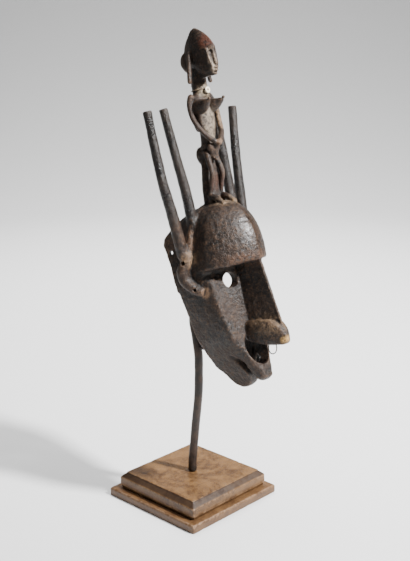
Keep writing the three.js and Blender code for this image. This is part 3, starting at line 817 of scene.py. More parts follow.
def vertex_normals(vertices, faces):
    """Outward directions at the vertices of faces that all have three or all have four sides."""
    across = vertices[faces[:, 2]] - vertices[faces[:, 0]]
    along = vertices[faces[:, 3 % faces.shape[1]]] - vertices[faces[:, 1]]
    facing = np.cross(across, along)
    normals = np.stack([
        sum(np.bincount(faces[:, k], facing[:, i], len(vertices)) for k in range(faces.shape[1]))
        for i in range(3)
    ], 1)
    return normals / np.maximum(np.linalg.norm(normals, axis=1), 1e-9)[:, None]


def edge_pairs(faces):
    """Each edge once, as the numbers of its two vertices."""
    pairs = np.concatenate([np.stack([faces[:, i], faces[:, (i + 1) % faces.shape[1]]], 1)
                            for i in range(faces.shape[1])])
    return np.unique(np.sort(pairs, axis=1), axis=0)


def neighbour_mean(values, pairs):
    """Mean of each vertex's neighbours, for one column or several."""
    flat = values.reshape(len(values), -1)
    count = np.bincount(pairs.ravel(), minlength=len(values))
    columns = []
    for column in flat.T:
        total = np.bincount(pairs[:, 0], column[pairs[:, 1]], len(values))
        total += np.bincount(pairs[:, 1], column[pairs[:, 0]], len(values))
        columns.append(total / np.maximum(count, 1))
    return np.stack(columns, 1).reshape(values.shape)


def smoothed(vertices, faces):
    """Takes out the grid's steps without shrinking the form."""
    pairs = edge_pairs(faces)
    for _ in range(SMOOTHING_ROUNDS):
        for pull in (0.55, -0.57):
            vertices = vertices + pull * (neighbour_mean(vertices, pairs) - vertices)
    return vertices


# Knife, adze and age on the surface, all in millimetres

def surface_relief(points):
    x, y, z = points.T
    on_figure = fade(z, 108, 122) * (np.abs(x) < 34)
    on_horn = fade(z, 60, 95) * (np.abs(x) > 34)
    on_head = 1 - np.maximum(on_figure, on_horn)
    adze = scoops(points, (13, 13, 19), 5) ** 2
    knife = scoops(points, (6.5, 6.5, 15), 11) ** 2
    crust = lumps(points, 4.2, 21) + 0.5 * lumps(points, 2.4, 22)
    swell = lumps(points, 24, 31)
    grain = lumps(points, (2.6, 2.6, 34), 41)
    relief = on_head * (0.4 * (adze - 0.4) + 0.34 * crust + 0.12 * grain)
    relief += on_horn * (0.65 * (knife - 0.4) + 0.12 * crust + 0.15 * grain)
    relief += on_figure * (0.3 * (knife - 0.4) + 0.12 * crust)
    return relief + 0.3 * swell * (1 - on_figure)


# Meshes and pieces

def new_mesh(name, vertices, faces):
    mesh = bpy.data.meshes.new(name)
    mesh.from_pydata(np.asarray(vertices, float).tolist(), [], faces)
    mesh.update()
    return mesh


def new_object(name, mesh):
    piece = bpy.data.objects.new(name, mesh)
    bpy.context.scene.collection.objects.link(piece)
    return piece


def finish_piece(name, mesh, material, node):
    mesh.polygons.foreach_set("use_smooth", np.ones(len(mesh.polygons), bool))
    piece = new_object(name, mesh)
    mesh.materials.append(material)
    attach(piece, "root")
    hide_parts(node)


def thinned(name, vertices, faces, triangles):
    """The same surface with about so many triangles."""
    old = new_mesh(name + "_rough", vertices, faces.tolist())
    rough = new_object(name + "_rough", old)
    split = rough.modifiers.new("split", "TRIANGULATE")
    split.quad_method = "SHORTEST_DIAGONAL"
    thin = rough.modifiers.new("thin", "DECIMATE")
    thin.ratio = min(1.0, triangles / (2 * len(faces)))
    seen = bpy.context.evaluated_depsgraph_get()
    mesh = bpy.data.meshes.new_from_object(rough.evaluated_get(seen))
    bpy.data.objects.remove(rough)
    bpy.data.meshes.remove(old)
    mesh.name = name
    return mesh


def mesh_arrays(mesh):
    """A mesh's points and triangles."""
    vertices = np.zeros(len(mesh.vertices) * 3, np.float32)
    mesh.vertices.foreach_get("co", vertices)
    mesh.calc_loop_triangles()
    triangles = np.zeros(len(mesh.loop_triangles) * 3, np.int32)
    mesh.loop_triangles.foreach_get("vertices", triangles)
    return vertices.reshape(-1, 3).astype(float), triangles.reshape(-1, 3)


def set_attribute(mesh, name, values):
    attribute = mesh.attributes.new(name, "FLOAT", "POINT")
    attribute.data.foreach_set("value", np.asarray(values, np.float32))


def convexity(vertices, triangles, rounds):
    """How far each point stands out of its surroundings: positive on edges, negative in hollows."""
    pairs = edge_pairs(triangles)
    normals = vertex_normals(vertices, triangles)
    away = np.sum((vertices - neighbour_mean(vertices, pairs)) * normals, axis=1)
    for _ in range(rounds):
        away = 0.5 * away + 0.5 * neighbour_mean(away, pairs)
    return away


def carving_place(vertices):
    """Points of the carving's frame, in mm, as metres in the object's frame."""
    turned = np.array(Matrix.Rotation(-MASK_LEAN, 3, "X")) @ (np.asarray(vertices, float).T * MM)
    return turned.T + np.array(MASK_PLACE)


def build_carving():
    field = Field(*carving_grid())
    carve_head(field)
    carve_nose(field)
    carve_figure(field)
    vertices, faces = skin(field)
    vertices = smoothed(vertices, faces)
    normals = vertex_normals(vertices, faces)
    vertices = vertices + normals * surface_relief(vertices)[:, None]
    mesh = thinned("mask_carving", vertices, faces, CARVING_TRIANGLES)
    vertices, triangles = mesh_arrays(mesh)
    set_attribute(mesh, "edge", convexity(vertices, triangles, 2))
    set_attribute(mesh, "form", convexity(vertices, triangles, 14))
    within_box = np.clip(carving_place(vertices), *(np.array(corner) for corner in cad_box))
    mesh.vertices.foreach_set("co", within_box.astype(np.float32).ravel())
    mesh.update()
    finish_piece("mask_carving", mesh, carving_material(), "mask")


# Materials

class Shader:
    """A material's node tree with short calls for the nodes used here."""

    def __init__(self, name, lean=0.0):
        self.material = bpy.data.materials.new(name)
        self.material.use_nodes = True
        self.tree = self.material.node_tree
        self.surface = self.tree.nodes["Principled BSDF"]
        self.place = self.node("ShaderNodeTexCoord").outputs["Object"]
        if lean:
            turned = self.node("ShaderNodeMapping")
            self.plug(self.place, turned.inputs["Vector"])
            turned.inputs["Rotation"].default_value = (lean, 0.0, 0.0)
            turned.inputs["Location"].default_value = -(Matrix.Rotation(lean, 3, "X") @ MASK_PLACE)
            self.place = turned.outputs["Vector"]

    def node(self, kind, **settings):
        node = self.tree.nodes.new(kind)
        for key, value in settings.items():
            setattr(node, key, value)
        return node

    def plug(self, value, socket):
        if isinstance(value, bpy.types.NodeSocket):
            self.tree.links.new(value, socket)
        else:
            socket.default_value = value

    def stretched(self, x, y, z):
        node = self.node("ShaderNodeMapping")
        self.plug(self.place, node.inputs["Vector"])
        node.inputs["Scale"].default_value = (x, y, z)
        return node.outputs["Vector"]

    def noise(self, scale, detail, roughness, place=None, distortion=0.0):
        node = self.node("ShaderNodeTexNoise")
        self.plug(place or self.place, node.inputs["Vector"])
        node.inputs["Scale"].default_value = scale
        node.inputs["Detail"].default_value = detail
        node.inputs["Roughness"].default_value = roughness
        node.inputs["Distortion"].default_value = distortion
        return node.outputs["Fac"]

    def cells(self, scale):
        node = self.node("ShaderNodeTexVoronoi", feature="F1")
        self.plug(self.place, node.inputs["Vector"])
        node.inputs["Scale"].default_value = scale
        return node.outputs["Distance"]

    def math(self, operation, first, second=0.0):
        node = self.node("ShaderNodeMath", operation=operation)
        self.plug(first, node.inputs[0])
        self.plug(second, node.inputs[1])
        return node.outputs[0]

    def times(self, first, second):
        return self.math("MULTIPLY", first, second)

    def total(self, *parts):
        """Sum of values that each come with a weight."""
        total = None
        for value, weight in parts:
            value = value if weight == 1 else self.times(value, weight)
            total = value if total is None else self.math("ADD", total, value)
        return total

    def spot(self, centre, half_size):
        """1 around a place in millimetres, fading to 0 beyond its half size."""
        place = self.place
        for operation, values in (("SUBTRACT", centre), ("DIVIDE", half_size)):
            moved = self.node("ShaderNodeVectorMath", operation=operation)
            self.plug(place, moved.inputs[0])
            moved.inputs[1].default_value = [value * MM for value in values]
            place = moved.outputs["Vector"]
        away = self.node("ShaderNodeVectorMath", operation="LENGTH")
        self.plug(place, away.inputs[0])
        return self.span(away.outputs["Value"], 0.55, 1.35, 1.0, 0.0)

    def span(self, value, low, high, to_low=0.0, to_high=1.0):
        node = self.node("ShaderNodeMapRange", interpolation_type="SMOOTHSTEP")
        inputs = (value, low, high, to_low, to_high)
        for number, socket in zip(inputs, node.inputs):
            self.plug(number, socket)
        return node.outputs[0]

    def mix(self, share, first, second):
        node = self.node("ShaderNodeMix", data_type="RGBA")
        self.plug(share, node.inputs["Factor"])
        for value, name in ((first, "A"), (second, "B")):
            socket = [s for s in node.inputs if s.name == name and s.type == "RGBA"][0]
            self.plug((*value, 1.0) if isinstance(value, tuple) else value, socket)
        return [s for s in node.outputs if s.type == "RGBA"][0]

    def attribute(self, name):
        return self.node("ShaderNodeAttribute", attribute_name=name).outputs["Fac"]

    def along(self, axis):
        node = self.node("ShaderNodeSeparateXYZ")
        self.plug(self.place, node.inputs[0])
        return node.outputs["XYZ".index(axis)]

    def bump(self, height, distance, strength, under=None):
        node = self.node("ShaderNodeBump")
        node.inputs["Strength"].default_value = strength
        node.inputs["Distance"].default_value = distance
        self.plug(height, node.inputs["Height"])
        if under is not None:
            self.plug(under, node.inputs["Normal"])
        return node.outputs["Normal"]

    def finish(self, colour, roughness, normal, metallic=0.0, specular=0.5):
        self.plug(colour, self.surface.inputs["Base Color"])
        self.plug(roughness, self.surface.inputs["Roughness"])
        self.plug(normal, self.surface.inputs["Normal"])
        self.surface.inputs["Metallic"].default_value = metallic
        self.surface.inputs["Specular IOR Level"].default_value = specular
        return self.material


# The dome's polished front: centre and half size in millimetres
POLISHED_PLACE = ((6, -72, 66), (30, 30, 34))

# Rubbed or coloured places on the carving, and a painted highlight on the knob of the clasped hands:
# centre and half size in millimetres, colour, strength
TINTS = (
    ((-16, -68, 22), (40, 34, 13), (0.1, 0.046, 0.024), 0.42),
    ((-69, 1, 36), (13, 13, 12), (0.24, 0.15, 0.085), 0.7),
    ((-62, -14, -17), (9, 9, 8), (0.22, 0.13, 0.075), 0.6),
    ((-62, 0, 66), (9, 10, 26), (0.15, 0.085, 0.05), 0.6),
    ((0, -76, -82), (26, 34, 18), (0.14, 0.09, 0.052), 0.65),
    ((2, -103, -106), (13, 8, 8), (0.42, 0.25, 0.08), 0.8),
    ((0, -30, 113), (24, 24, 9), (0.17, 0.12, 0.08), 0.5),
    ((-12, -40, 109), (7, 9, 7), (0.2, 0.12, 0.06), 0.35),
    ((12, -40, 109), (7, 9, 7), (0.26, 0.16, 0.075), 0.45),
    ((0, -24, 140), (15, 9, 18), (0.075, 0.035, 0.024), 0.6),
    ((0, -30, 232), (13, 10, 30), (0.24, 0.19, 0.14), 0.75),
    ((27, -26, 238), (9, 10, 34), (0.22, 0.14, 0.08), 0.75),
    # The knob of the clasped hands: a painted highlight
    ((0, -42, 202), (6, 6, 6), (0.26, 0.16, 0.1), 0.7),
    ((0, -30, 282), (14, 9, 10), (0.28, 0.22, 0.15), 0.7),
    ((-6, -62, 318), (9, 7, 20), (0.3, 0.23, 0.17), 0.6),
    ((-4, -54, 352), (14, 14, 12), (0.07, 0.02, 0.01), 0.75),
)


def carving_material():
    s = Shader("carved_wood", lean=MASK_LEAN)
    patches = s.noise(24, 5, 0.62)
    mottle = s.noise(150, 5, 0.65)
    fine = s.noise(330, 6, 0.7)
    grain = s.noise(300, 4, 0.65, s.stretched(1.0, 1.0, 0.16))
    crust = s.noise(640, 5, 0.75)
    edge = s.attribute("edge")
    form = s.attribute("form")

    dark = s.mix(s.span(patches, 0.38, 0.62), (0.006, 0.005, 0.0045), (0.02, 0.0105, 0.0065))
    brown = s.mix(s.span(fine, 0.35, 0.7), (0.012, 0.0075, 0.005), (0.075, 0.042, 0.024))
    body = s.mix(s.span(s.total((mottle, 0.8), (fine, 0.4)), 0.52, 0.74), dark, brown)
    body = s.mix(s.span(grain, 0.52, 0.68, 0.0, 0.25), body, (0.006, 0.005, 0.0045))
    wear_and_highlight_mottle = s.span(s.total((mottle, 1), (fine, 0.5)), 0.52, 0.95)
    for centre, half_size, colour, strength in TINTS:
        share = s.times(s.spot(centre, half_size), s.times(wear_and_highlight_mottle, 1.5 * strength))
        body = s.mix(s.math("MINIMUM", share, 0.9), body, colour)
    rubbed_edge = s.total((edge, 4.0), (fine, 0.9))
    body = s.mix(s.span(rubbed_edge, 0.7, 1.25, 0.0, 0.6), body, (0.13, 0.075, 0.045))
    rubbed_form = s.total((form, 6.0), (patches, 0.8))
    body = s.mix(s.span(rubbed_form, 0.65, 1.15, 0.0, 0.3), body, (0.08, 0.048, 0.032))
    # Darker in the hollows: painted shade
    body = s.mix(s.span(edge, -0.02, -0.12, 0.0, 0.8), body, (0.005, 0.0042, 0.004))
    body = s.mix(s.span(crust, 0.56, 0.7, 0.0, 0.6), body, (0.115, 0.082, 0.058))
    body = s.mix(s.span(crust, 0.46, 0.34, 0.0, 0.7), body, (0.003, 0.0025, 0.0022))
    far_out = s.span(s.math("ABSOLUTE", s.along("X")), 0.036, 0.04)
    on_horns = s.times(far_out, s.span(s.along("Z"), 0.08, 0.11))
    satin = s.mix(s.span(patches, 0.4, 0.6), (0.009, 0.0085, 0.0085), (0.02, 0.016, 0.014))
    body = s.mix(s.times(on_horns, 0.75), body, satin)

    polish = s.spot(*POLISHED_PLACE)
    roughness = s.span(s.total((fine, 1), (patches, 0.6)), 0.55, 1.0, 0.28, 0.6)
    roughness = s.total((roughness, 1), (polish, -0.12), (on_horns, -0.12))
    heights = s.total((crust, 0.5), (grain, 0.3), (s.span(s.cells(300), 0.0, 0.32, -0.5, 0.0), 1))
    rough_share = s.math("SUBTRACT", 1.0, s.times(polish, 0.75))
    normal = s.bump(s.times(heights, rough_share), 0.0011, 0.9)
    normal = s.bump(s.times(mottle, rough_share), 0.0024, 0.8, normal)
    return s.finish(body, roughness, normal, specular=0.3)


def rod_material():
    s = Shader("dark_iron")
    patches = s.noise(60, 5, 0.65)
    fine = s.noise(700, 4, 0.6)
    colour = s.mix(s.span(patches, 0.4, 0.65), (0.022, 0.018, 0.016), (0.05, 0.033, 0.025))
    colour = s.mix(s.span(fine, 0.6, 0.75, 0.0, 0.6), colour, (0.09, 0.055, 0.035))
    roughness = s.span(patches, 0.3, 0.7, 0.36, 0.55)
    normal = s.bump(s.total((fine, 1), (patches, 1.5)), 0.0004, 0.6)
    return s.finish(colour, roughness, normal, metallic=0.55)


def wire_material():
    s = Shader("iron_wire")
    rust = s.noise(900, 5, 0.7)
    colour = s.mix(s.span(rust, 0.45, 0.65), (0.05, 0.045, 0.042), (0.09, 0.045, 0.025))
    return s.finish(colour, s.span(rust, 0.35, 0.7, 0.35, 0.7), s.bump(rust, 0.0002, 0.6), metallic=0.7)


def thread_material():
    s = Shader("neck_thread")
    twist = s.node("ShaderNodeTexWave", wave_type="BANDS", bands_direction="DIAGONAL")
    s.plug(s.place, twist.inputs["Vector"])
    twist.inputs["Scale"].default_value = 900
    twist.inputs["Distortion"].default_value = 2.0
    fibre = s.noise(1500, 3, 0.6)
    colour = s.mix(s.span(fibre, 0.35, 0.7), (0.1, 0.065, 0.04), (0.3, 0.22, 0.14))
    normal = s.bump(twist.outputs["Fac"], 0.0003, 0.7)
    return s.finish(colour, s.span(fibre, 0.3, 0.7, 0.75, 0.95), normal)


def bead_material():
    s = Shader("bead_shell")
    cloud = s.noise(420, 4, 0.6)
    specks = s.noise(1400, 3, 0.6)
    colour = s.mix(s.span(cloud, 0.35, 0.65), (0.62, 0.52, 0.36), (0.78, 0.72, 0.58))
    colour = s.mix(s.span(specks, 0.6, 0.72, 0.0, 0.6), colour, (0.25, 0.17, 0.1))
    return s.finish(colour, s.span(cloud, 0.3, 0.7, 0.35, 0.6), s.bump(specks, 0.0002, 0.5))


def base_material():
    s = Shader("base_wood")
    swirl = s.noise(16, 5, 0.6, distortion=1.6)
    grain = s.noise(46, 5, 0.65, s.stretched(1.0, 6.0, 6.0), distortion=0.5)
    burl = s.noise(120, 6, 0.7, distortion=0.8)
    pores = s.noise(900, 3, 0.6, s.stretched(1.0, 3.0, 3.0))
    colour = s.mix(s.span(swirl, 0.36, 0.64), (0.07, 0.032, 0.011), (0.18, 0.093, 0.034))
    colour = s.mix(s.span(burl, 0.42, 0.62, 0.0, 0.6), colour, (0.235, 0.127, 0.05))
    colour = s.mix(s.span(grain, 0.5, 0.68, 0.0, 0.5), colour, (0.07, 0.034, 0.015))
    colour = s.mix(s.span(pores, 0.6, 0.74, 0.0, 0.5), colour, (0.03, 0.017, 0.01))
    height = s.along("Z")
    on_bevel = s.times(s.span(height, 0.033, 0.035), s.span(height, 0.0422, 0.0412))
    colour = s.mix(s.times(on_bevel, 0.85), colour, (0.02, 0.012, 0.009))
    on_side = s.times(s.span(height, 0.0135, 0.0145), s.span(height, 0.035, 0.033))
    colour = s.mix(s.times(on_side, 0.45), colour, (0.04, 0.022, 0.012))
    colour = s.mix(s.span(height, 0.0145, 0.0135, 0.0, 0.6), colour, (0.06, 0.03, 0.016))
    wear = s.total((s.attribute("edge"), 3.5), (burl, 0.9))
    colour = s.mix(s.span(wear, 0.75, 1.15, 0.0, 0.6), colour, (0.24, 0.15, 0.09))
    normal = s.bump(s.total((burl, 0.7), (pores, 0.5)), 0.0005, 0.55)
    return s.finish(colour, s.span(burl, 0.3, 0.7, 0.3, 0.5), normal, specular=0.35)


# Bars, discs and other runs of rings

def unit(vectors):
    return vectors / np.linalg.norm(vectors, axis=1)[:, None]


def angles_round(count):
    return 2 * math.pi * np.arange(count) / count


def rings_round(points, heading, across, radii, sides):
    """Rings of points round a path, each square to its heading and begun on its across side."""
    other = np.cross(heading, across)
    angles = angles_round(sides)[None, :, None]
    spokes = np.cos(angles) * across[:, None] + np.sin(angles) * other[:, None]
    return (points[:, None] + spokes * radii[:, None, None]).reshape(-1, 3)


def level_rings(rows, sides, stretch=1.0):
    """Rings of points round the z axis for rows of (radius, height)."""
    angles = angles_round(sides)
    return np.concatenate([
        np.stack([radius * stretch * np.cos(angles), radius * stretch * np.sin(angles),
                  np.full(sides, height)], 1) for radius, height in rows
    ])


def ring_faces(rings, count, closed=False, turned=False):
    """Four-sided faces between rings of points, the other way round if turned.

    A closed run joins its last ring to its first.
    """
    ring, place = np.indices((rings if closed else rings - 1, count))
    after, beside = (ring + 1) % rings, (place + 1) % count
    corners = [(ring, place), (ring, beside), (after, beside), (after, place)]
    if turned:
        corners = corners[:1] + corners[:0:-1]
    return np.stack([i * count + k for i, k in corners], -1).reshape(-1, 4).tolist()


def end_faces(rings, count):
    """The two faces that close a run of rings."""
    last = (rings - 1) * count
    return [list(reversed(range(count))), list(range(last, last + count))]


def tube(points, radii, sides):
    """Vertices and faces of a closed round bar along points, in the unit of the points."""
    heading = unit(np.gradient(points, axis=0))
    across = np.cross(heading, (1.0, 0.0, 0.0))
    flat = np.linalg.norm(across, axis=1) < 0.2
    across[flat] = np.cross(heading[flat], (0.0, 0.0, 1.0))
    vertices = rings_round(points, heading, unit(across), radii, sides)
    return vertices, ring_faces(len(points), sides) + end_faces(len(points), sides)


def rounded_bar(path, radius, steps, sides):
    """A bar along a smooth path, in metres, with softened ends and a slightly uneven skin."""
    points = smooth_path(np.asarray(path, float) * MM, steps)
    travel = np.concatenate([[0], np.cumsum(np.linalg.norm(np.diff(points, axis=0), axis=1))])
    to_end = np.minimum(travel, travel[-1] - travel)
    soften = np.minimum(1, 0.82 + 0.18 * to_end / 0.0012)
    wave = 1 - 0.02 * (1 + lumps(points / 0.014, 1.0, 3))
    return tube(points, radius * soften * wave, sides)


def joined(*parts):
    """Several (vertices, faces) lists as one."""
    vertices, faces = [], []
    for more_vertices, more_faces in parts:
        first = sum(len(v) for v in vertices)
        vertices.append(more_vertices)
        faces += [[i + first for i in face] for face in more_faces]
    return np.concatenate(vertices), faces


# Rod and base: the rod's radii are in metres, its paths and the base's sizes in millimetres

ROD_RADIUS = 0.0072
ARM_RADIUS = 0.003
ROD_PATH = (
    (0, 0, 42.3), (0, 0, 54), (0, -3.5, 88), (0, -7.4, 120), (0, -17, 205), (0, -17.5, 245),
    (0, -11.7, 285), (0, -6, 312), (0, -8, 350), (0, -19, 400), (0, -31, 450), (0, -40, 489.5),
)
ARM_PATH = ((0, -14, 268.4), (0, -60, 268.4), (0, -98.4, 268.4))


def build_rod():
    rod = rounded_bar(ROD_PATH, ROD_RADIUS, 150, 32)
    arm = rounded_bar(ARM_PATH, ARM_RADIUS, 40, 20)
    mesh = new_mesh("rod", *joined(rod, arm))
    finish_piece("rod", mesh, rod_material(), "stand_rod")


SLAB_SIDE_POINTS = 56
SLAB_CORNER_POINTS = 5
SLAB_CORNER = 2.5
SLAB_INNER_RINGS = 24


def square_ring(half, z):
    """Points round a square with softly rounded corners, in mm."""
    corner = min(SLAB_CORNER, 0.5 * half)
    flat = half - corner
    points = []
    for quarter in range(4):
        turn = quarter * math.pi / 2
        for k in range(SLAB_SIDE_POINTS):
            points.append((half, -flat + 2 * flat * k / SLAB_SIDE_POINTS, turn))
        for k in range(SLAB_CORNER_POINTS):
            angle = (math.pi / 2) * k / SLAB_CORNER_POINTS
            points.append((flat + corner * math.cos(angle), flat + corner * math.sin(angle), turn))
    x, y, turn = np.array(points).T
    return np.stack([x * np.cos(turn) - y * np.sin(turn), x * np.sin(turn) + y * np.cos(turn),
                     np.full(len(x), z)], 1)


def slab_profile(edge_profile):
    """Rings of (half width, height) from the middle of the underside round to the middle of the top."""
    first_half, first_z = edge_profile[0]
    last_half, last_z = edge_profile[-1]
    under = [(first_half * share, first_z) for share in np.linspace(0.04, 0.98, 6)]
    over = [(last_half * share, last_z) for share in np.linspace(0.985, 0.03, SLAB_INNER_RINGS)]
    return under + list(edge_profile) + over


def build_slab(name, node, edge_profile, material, seed):
    """Moulded square slab with worn, slightly nicked edges."""
    rings = [square_ring(half, z) for half, z in slab_profile(edge_profile)]
    vertices = np.concatenate(rings)
    sides = ring_faces(len(rings), len(rings[0]))
    quads = np.array(sides)
    normals = vertex_normals(vertices, quads)
    standing_out = convexity(vertices, quads, 1)
    nicks = fade(lumps(vertices, 3.2, seed), 0.35, 0.8) * fade(standing_out, 0.02, 0.12)
    hollows = 0.12 + 0.12 * lumps(vertices, 9, seed + 1) + 0.5 * nicks
    low, high = vertices[:, 2].min(), vertices[:, 2].max()
    vertices = vertices - normals * hollows[:, None]
    vertices[:, 2] = np.clip(vertices[:, 2], low, high)
    mesh = new_mesh(name, vertices, sides + end_faces(len(rings), len(rings[0])))
    set_attribute(mesh, "edge", convexity(vertices, quads, 1))
    mesh.transform(Matrix.Scale(MM, 4))
    finish_piece(name, mesh, material, node)


def build_base():
    material = base_material()
    upper = [
        (85.2, 14.3), (85.8, 14.9), (86.2, 17.6), (86.9, 18.6), (87.5, 19.6), (87.5, 24), (87.5, 28),
        (87.5, 32.2), (87.2, 33.4), (86.4, 34.2), (84.6, 35.9), (82.7, 37.6), (80.9, 39.1),
        (79.9, 39.9), (79.6, 40.6), (79.2, 41.5), (78.6, 42.0),
    ]
    build_slab("base_upper_slab", "base_upper", upper, material, 61)
    lower = [
        (98.6, 0), (99.5, 0.4), (99.9, 1.2), (100, 2.6), (100, 6), (100, 9.5), (99.8, 11.2),
        (99.2, 12.6), (98.2, 13.6), (96.8, 14.0),
    ]
    build_slab("base_lower_slab", "base_lower", lower, material, 71)


# Nose ring, thread and bead, in the carving's frame

RING_CENTRE = (0.0, -73.0, -118.1)
RING_RADIUS = 9.2
RING_WIRE = 1.0
RING_OPENING = 0.9


def build_nose_ring():
    angles = np.linspace(math.pi / 2 + RING_OPENING, math.pi * 5 / 2 - RING_OPENING, 72)
    sag = 1 + 0.02 * np.sin(3 * angles)
    points = np.stack([RING_RADIUS * sag * np.cos(angles), 0.25 * np.sin(2 * angles),
                       RING_RADIUS * np.sin(angles)], 1) + np.array(RING_CENTRE)
    radii = RING_WIRE * (0.9 + 0.08 * lumps(points, 2.5, 7))
    vertices, faces = tube(points, radii, 12)
    mesh = new_mesh("nose_wire", carving_place(vertices), faces)
    finish_piece("nose_wire", mesh, wire_material(), "nose_ring")


CORD_RADIUS = 0.7
CORD_GAP = 0.3
STRAND_RADIUS = 0.38
STRAND_SWING = 0.3
STRAND_TURNS = 34
BEAD_RADIUS = 5.0
BEAD_HOLE = 1.8
BEAD_THICKNESS = 3.0
BEAD_PLACE = (0.0, -36.0, 281.5)
BEAD_SIDES = 48


def closed_tube(points, radius, sides):
    """A round bar whose end joins its start."""
    heading = unit(np.roll(points, -1, axis=0) - np.roll(points, 1, axis=0))
    across = unit(np.cross(heading, (0.0, 0.0, 1.0)))
    vertices = rings_round(points, heading, across, np.full(len(points), radius), sides)
    return vertices, ring_faces(len(points), sides, closed=True, turned=True)


def build_neck_cord():
    """Two strands twisted round each other into a closed loop."""
    strands = []
    angles = np.linspace(0, 2 * math.pi, 320, endpoint=False)
    ring_radius = NECK_RADIUS + CORD_GAP + CORD_RADIUS
    for phase in (0, math.pi):
        twist = STRAND_TURNS * angles + phase
        away = ring_radius + STRAND_SWING * np.cos(twist)
        points = np.stack([away * np.cos(angles), NECK_MIDDLE + away * np.sin(angles),
                           CORD_HEIGHT + STRAND_SWING * np.sin(twist)], 1)
        strands.append(closed_tube(points, STRAND_RADIUS, 8))
    vertices, faces = joined(*strands)
    mesh = new_mesh("neck_thread", carving_place(vertices), faces)
    finish_piece("neck_thread", mesh, thread_material(), "neck_cord")


def build_bead():
    """A flat disc cut from shell, its hole worn and its rim soft and a little uneven."""
    half = BEAD_THICKNESS / 2
    near_side = [(BEAD_HOLE, -half + 0.5), (BEAD_HOLE + 0.15, -half + 0.15), (BEAD_HOLE + 0.5, -half),
                 (BEAD_RADIUS - 0.9, -half), (BEAD_RADIUS - 0.35, -half + 0.25),
                 (BEAD_RADIUS, -half + 0.9)]
    profile = near_side + [(radius, -y) for radius, y in reversed(near_side)]
    uneven = 0.985 - 0.015 * np.cos(3 * angles_round(BEAD_SIDES) + 1)
    flat_disc = level_rings(profile, BEAD_SIDES, uneven)
    vertices = flat_disc[:, [0, 2, 1]] + np.array(BEAD_PLACE)
    faces = ring_faces(len(profile), BEAD_SIDES, closed=True, turned=True)
    mesh = new_mesh("neck_disc", carving_place(vertices), faces)
    finish_piece("neck_disc", mesh, bead_material(), "neck_bead")


# Camera, floor and lights, in metres

CAMERA_PLACE = (-1.10317, -1.09704, 0.79997)
CAMERA_RIGHT = (0.69246, -0.72140, -0.00850)
CAMERA_UP = (0.19516, 0.17595, 0.96486)
CAMERA_BACK = (-0.69456, -0.66979, 0.26263)
CAMERA_LENS = 64.17
SENSOR = 36.0


def place_camera():
    data = bpy.data.cameras.new("camera")
    data.sensor_fit = "VERTICAL"
    data.sensor_width = SENSOR
    data.sensor_height = SENSOR
    data.lens = CAMERA_LENS
    camera = bpy.data.objects.new("camera", data)
    turn = Matrix((CAMERA_RIGHT, CAMERA_UP, CAMERA_BACK)).transposed().to_4x4()
    camera.matrix_world = Matrix.Translation(CAMERA_PLACE) @ turn
    bpy.context.scene.collection.objects.link(camera)
    bpy.context.scene.camera = camera


STAGE_FLOOR_RADIUS = 2.4
STAGE_CURVE = 0.9
STAGE_HEIGHT = 4.2
STAGE_SIDES = 96
# The paper's tone is painted shade: pale round its brightest place and darker further away, up the
# walls
STAGE_PAINTED_LIGHT_MIDDLE = (0.7, 0.66, 0.0)
STAGE_PALE = (0.86, 0.86, 0.86)
STAGE_PAINTED_SHADE = (0.1, 0.1, 0.1)


def stage_material():
    s = Shader("studio_paper")
    away = s.node("ShaderNodeVectorMath", operation="DISTANCE")
    s.plug(s.place, away.inputs[0])
    away.inputs[1].default_value = STAGE_PAINTED_LIGHT_MIDDLE
    # Painted shade: the paper darkens with distance from its brightest place
    colour = s.mix(s.span(away.outputs["Value"], 0.3, 3.4), STAGE_PALE, STAGE_PAINTED_SHADE)
    grain = s.noise(90, 3, 0.5)
    return s.finish(colour, s.span(grain, 0.3, 0.7, 0.75, 0.85), s.bump(grain, 0.0001, 0.15),
                    specular=0.2)


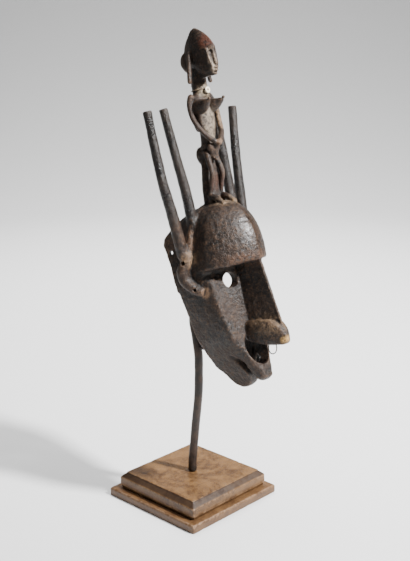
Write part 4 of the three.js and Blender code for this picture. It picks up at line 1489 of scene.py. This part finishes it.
def build_stage():
    """A round floor that curves up into a wall on every side, painted pale in the middle and darker
    further out as shade.
    """
    rows = [(0.02, 0.0), (STAGE_FLOOR_RADIUS, 0.0)]
    for angle in np.linspace(0, math.pi / 2, 13)[1:]:
        rows.append((STAGE_FLOOR_RADIUS + STAGE_CURVE * math.sin(angle),
                     STAGE_CURVE * (1 - math.cos(angle))))
    rows.append((STAGE_FLOOR_RADIUS + STAGE_CURVE, STAGE_HEIGHT))
    middle = [list(range(STAGE_SIDES))]
    faces = middle + ring_faces(len(rows), STAGE_SIDES, turned=True)
    mesh = new_mesh("studio_floor", level_rings(rows, STAGE_SIDES), faces)
    mesh.polygons.foreach_set("use_smooth", np.ones(len(mesh.polygons), bool))
    floor = new_object("studio_floor", mesh)
    mesh.materials.append(stage_material())


def area_light(name, place, aim, size, power):
    data = bpy.data.lights.new(name, "AREA")
    data.shape = "DISK"
    data.size = size
    data.energy = power
    light = bpy.data.objects.new(name, data)
    light.location = place
    light.rotation_euler = (Vector(aim) - Vector(place)).to_track_quat("-Z", "Y").to_euler()
    bpy.context.scene.collection.objects.link(light)
    return light


KEY_AZIMUTH = math.radians(-76.5)
KEY_ELEVATION = math.radians(42)
KEY_DISTANCE = 2.6
KEY_SIZE = 0.26
KEY_POWER = 275
AIM = (0.0, -0.06, 0.36)
SOFT_SIZE = 1.6
BACKDROP_PLACE = (1.5, 1.4, 2.4)
BACKDROP_AIM = (1.3, 1.2, 0)
BACKDROP_POWER = 110
OVERHEAD_PLACE = (-0.1, 0.1, 3.2)
OVERHEAD_POWER = 42
ROOM_STRENGTH = 0.25


def place_lights():
    level = KEY_DISTANCE * math.cos(KEY_ELEVATION)
    key = (AIM[0] + level * math.cos(KEY_AZIMUTH), AIM[1] + level * math.sin(KEY_AZIMUTH),
           AIM[2] + KEY_DISTANCE * math.sin(KEY_ELEVATION))
    area_light("key", key, AIM, KEY_SIZE, KEY_POWER)
    backdrop = area_light("backdrop", BACKDROP_PLACE, BACKDROP_AIM, SOFT_SIZE, BACKDROP_POWER)
    backdrop.visible_glossy = False
    area_light("overhead", OVERHEAD_PLACE, (0, 0, 0), SOFT_SIZE, OVERHEAD_POWER)
    world = bpy.data.worlds.new("studio")
    world.use_nodes = True
    room = world.node_tree.nodes["Background"]
    room.inputs["Color"].default_value = (1, 1, 1, 1)
    room.inputs["Strength"].default_value = ROOM_STRENGTH
    bpy.context.scene.world = world


place_camera()
build_carving()
build_rod()
build_base()
build_nose_ring()
build_neck_cord()
build_bead()
build_stage()
place_lights()
bpy.context.view_layer.update()
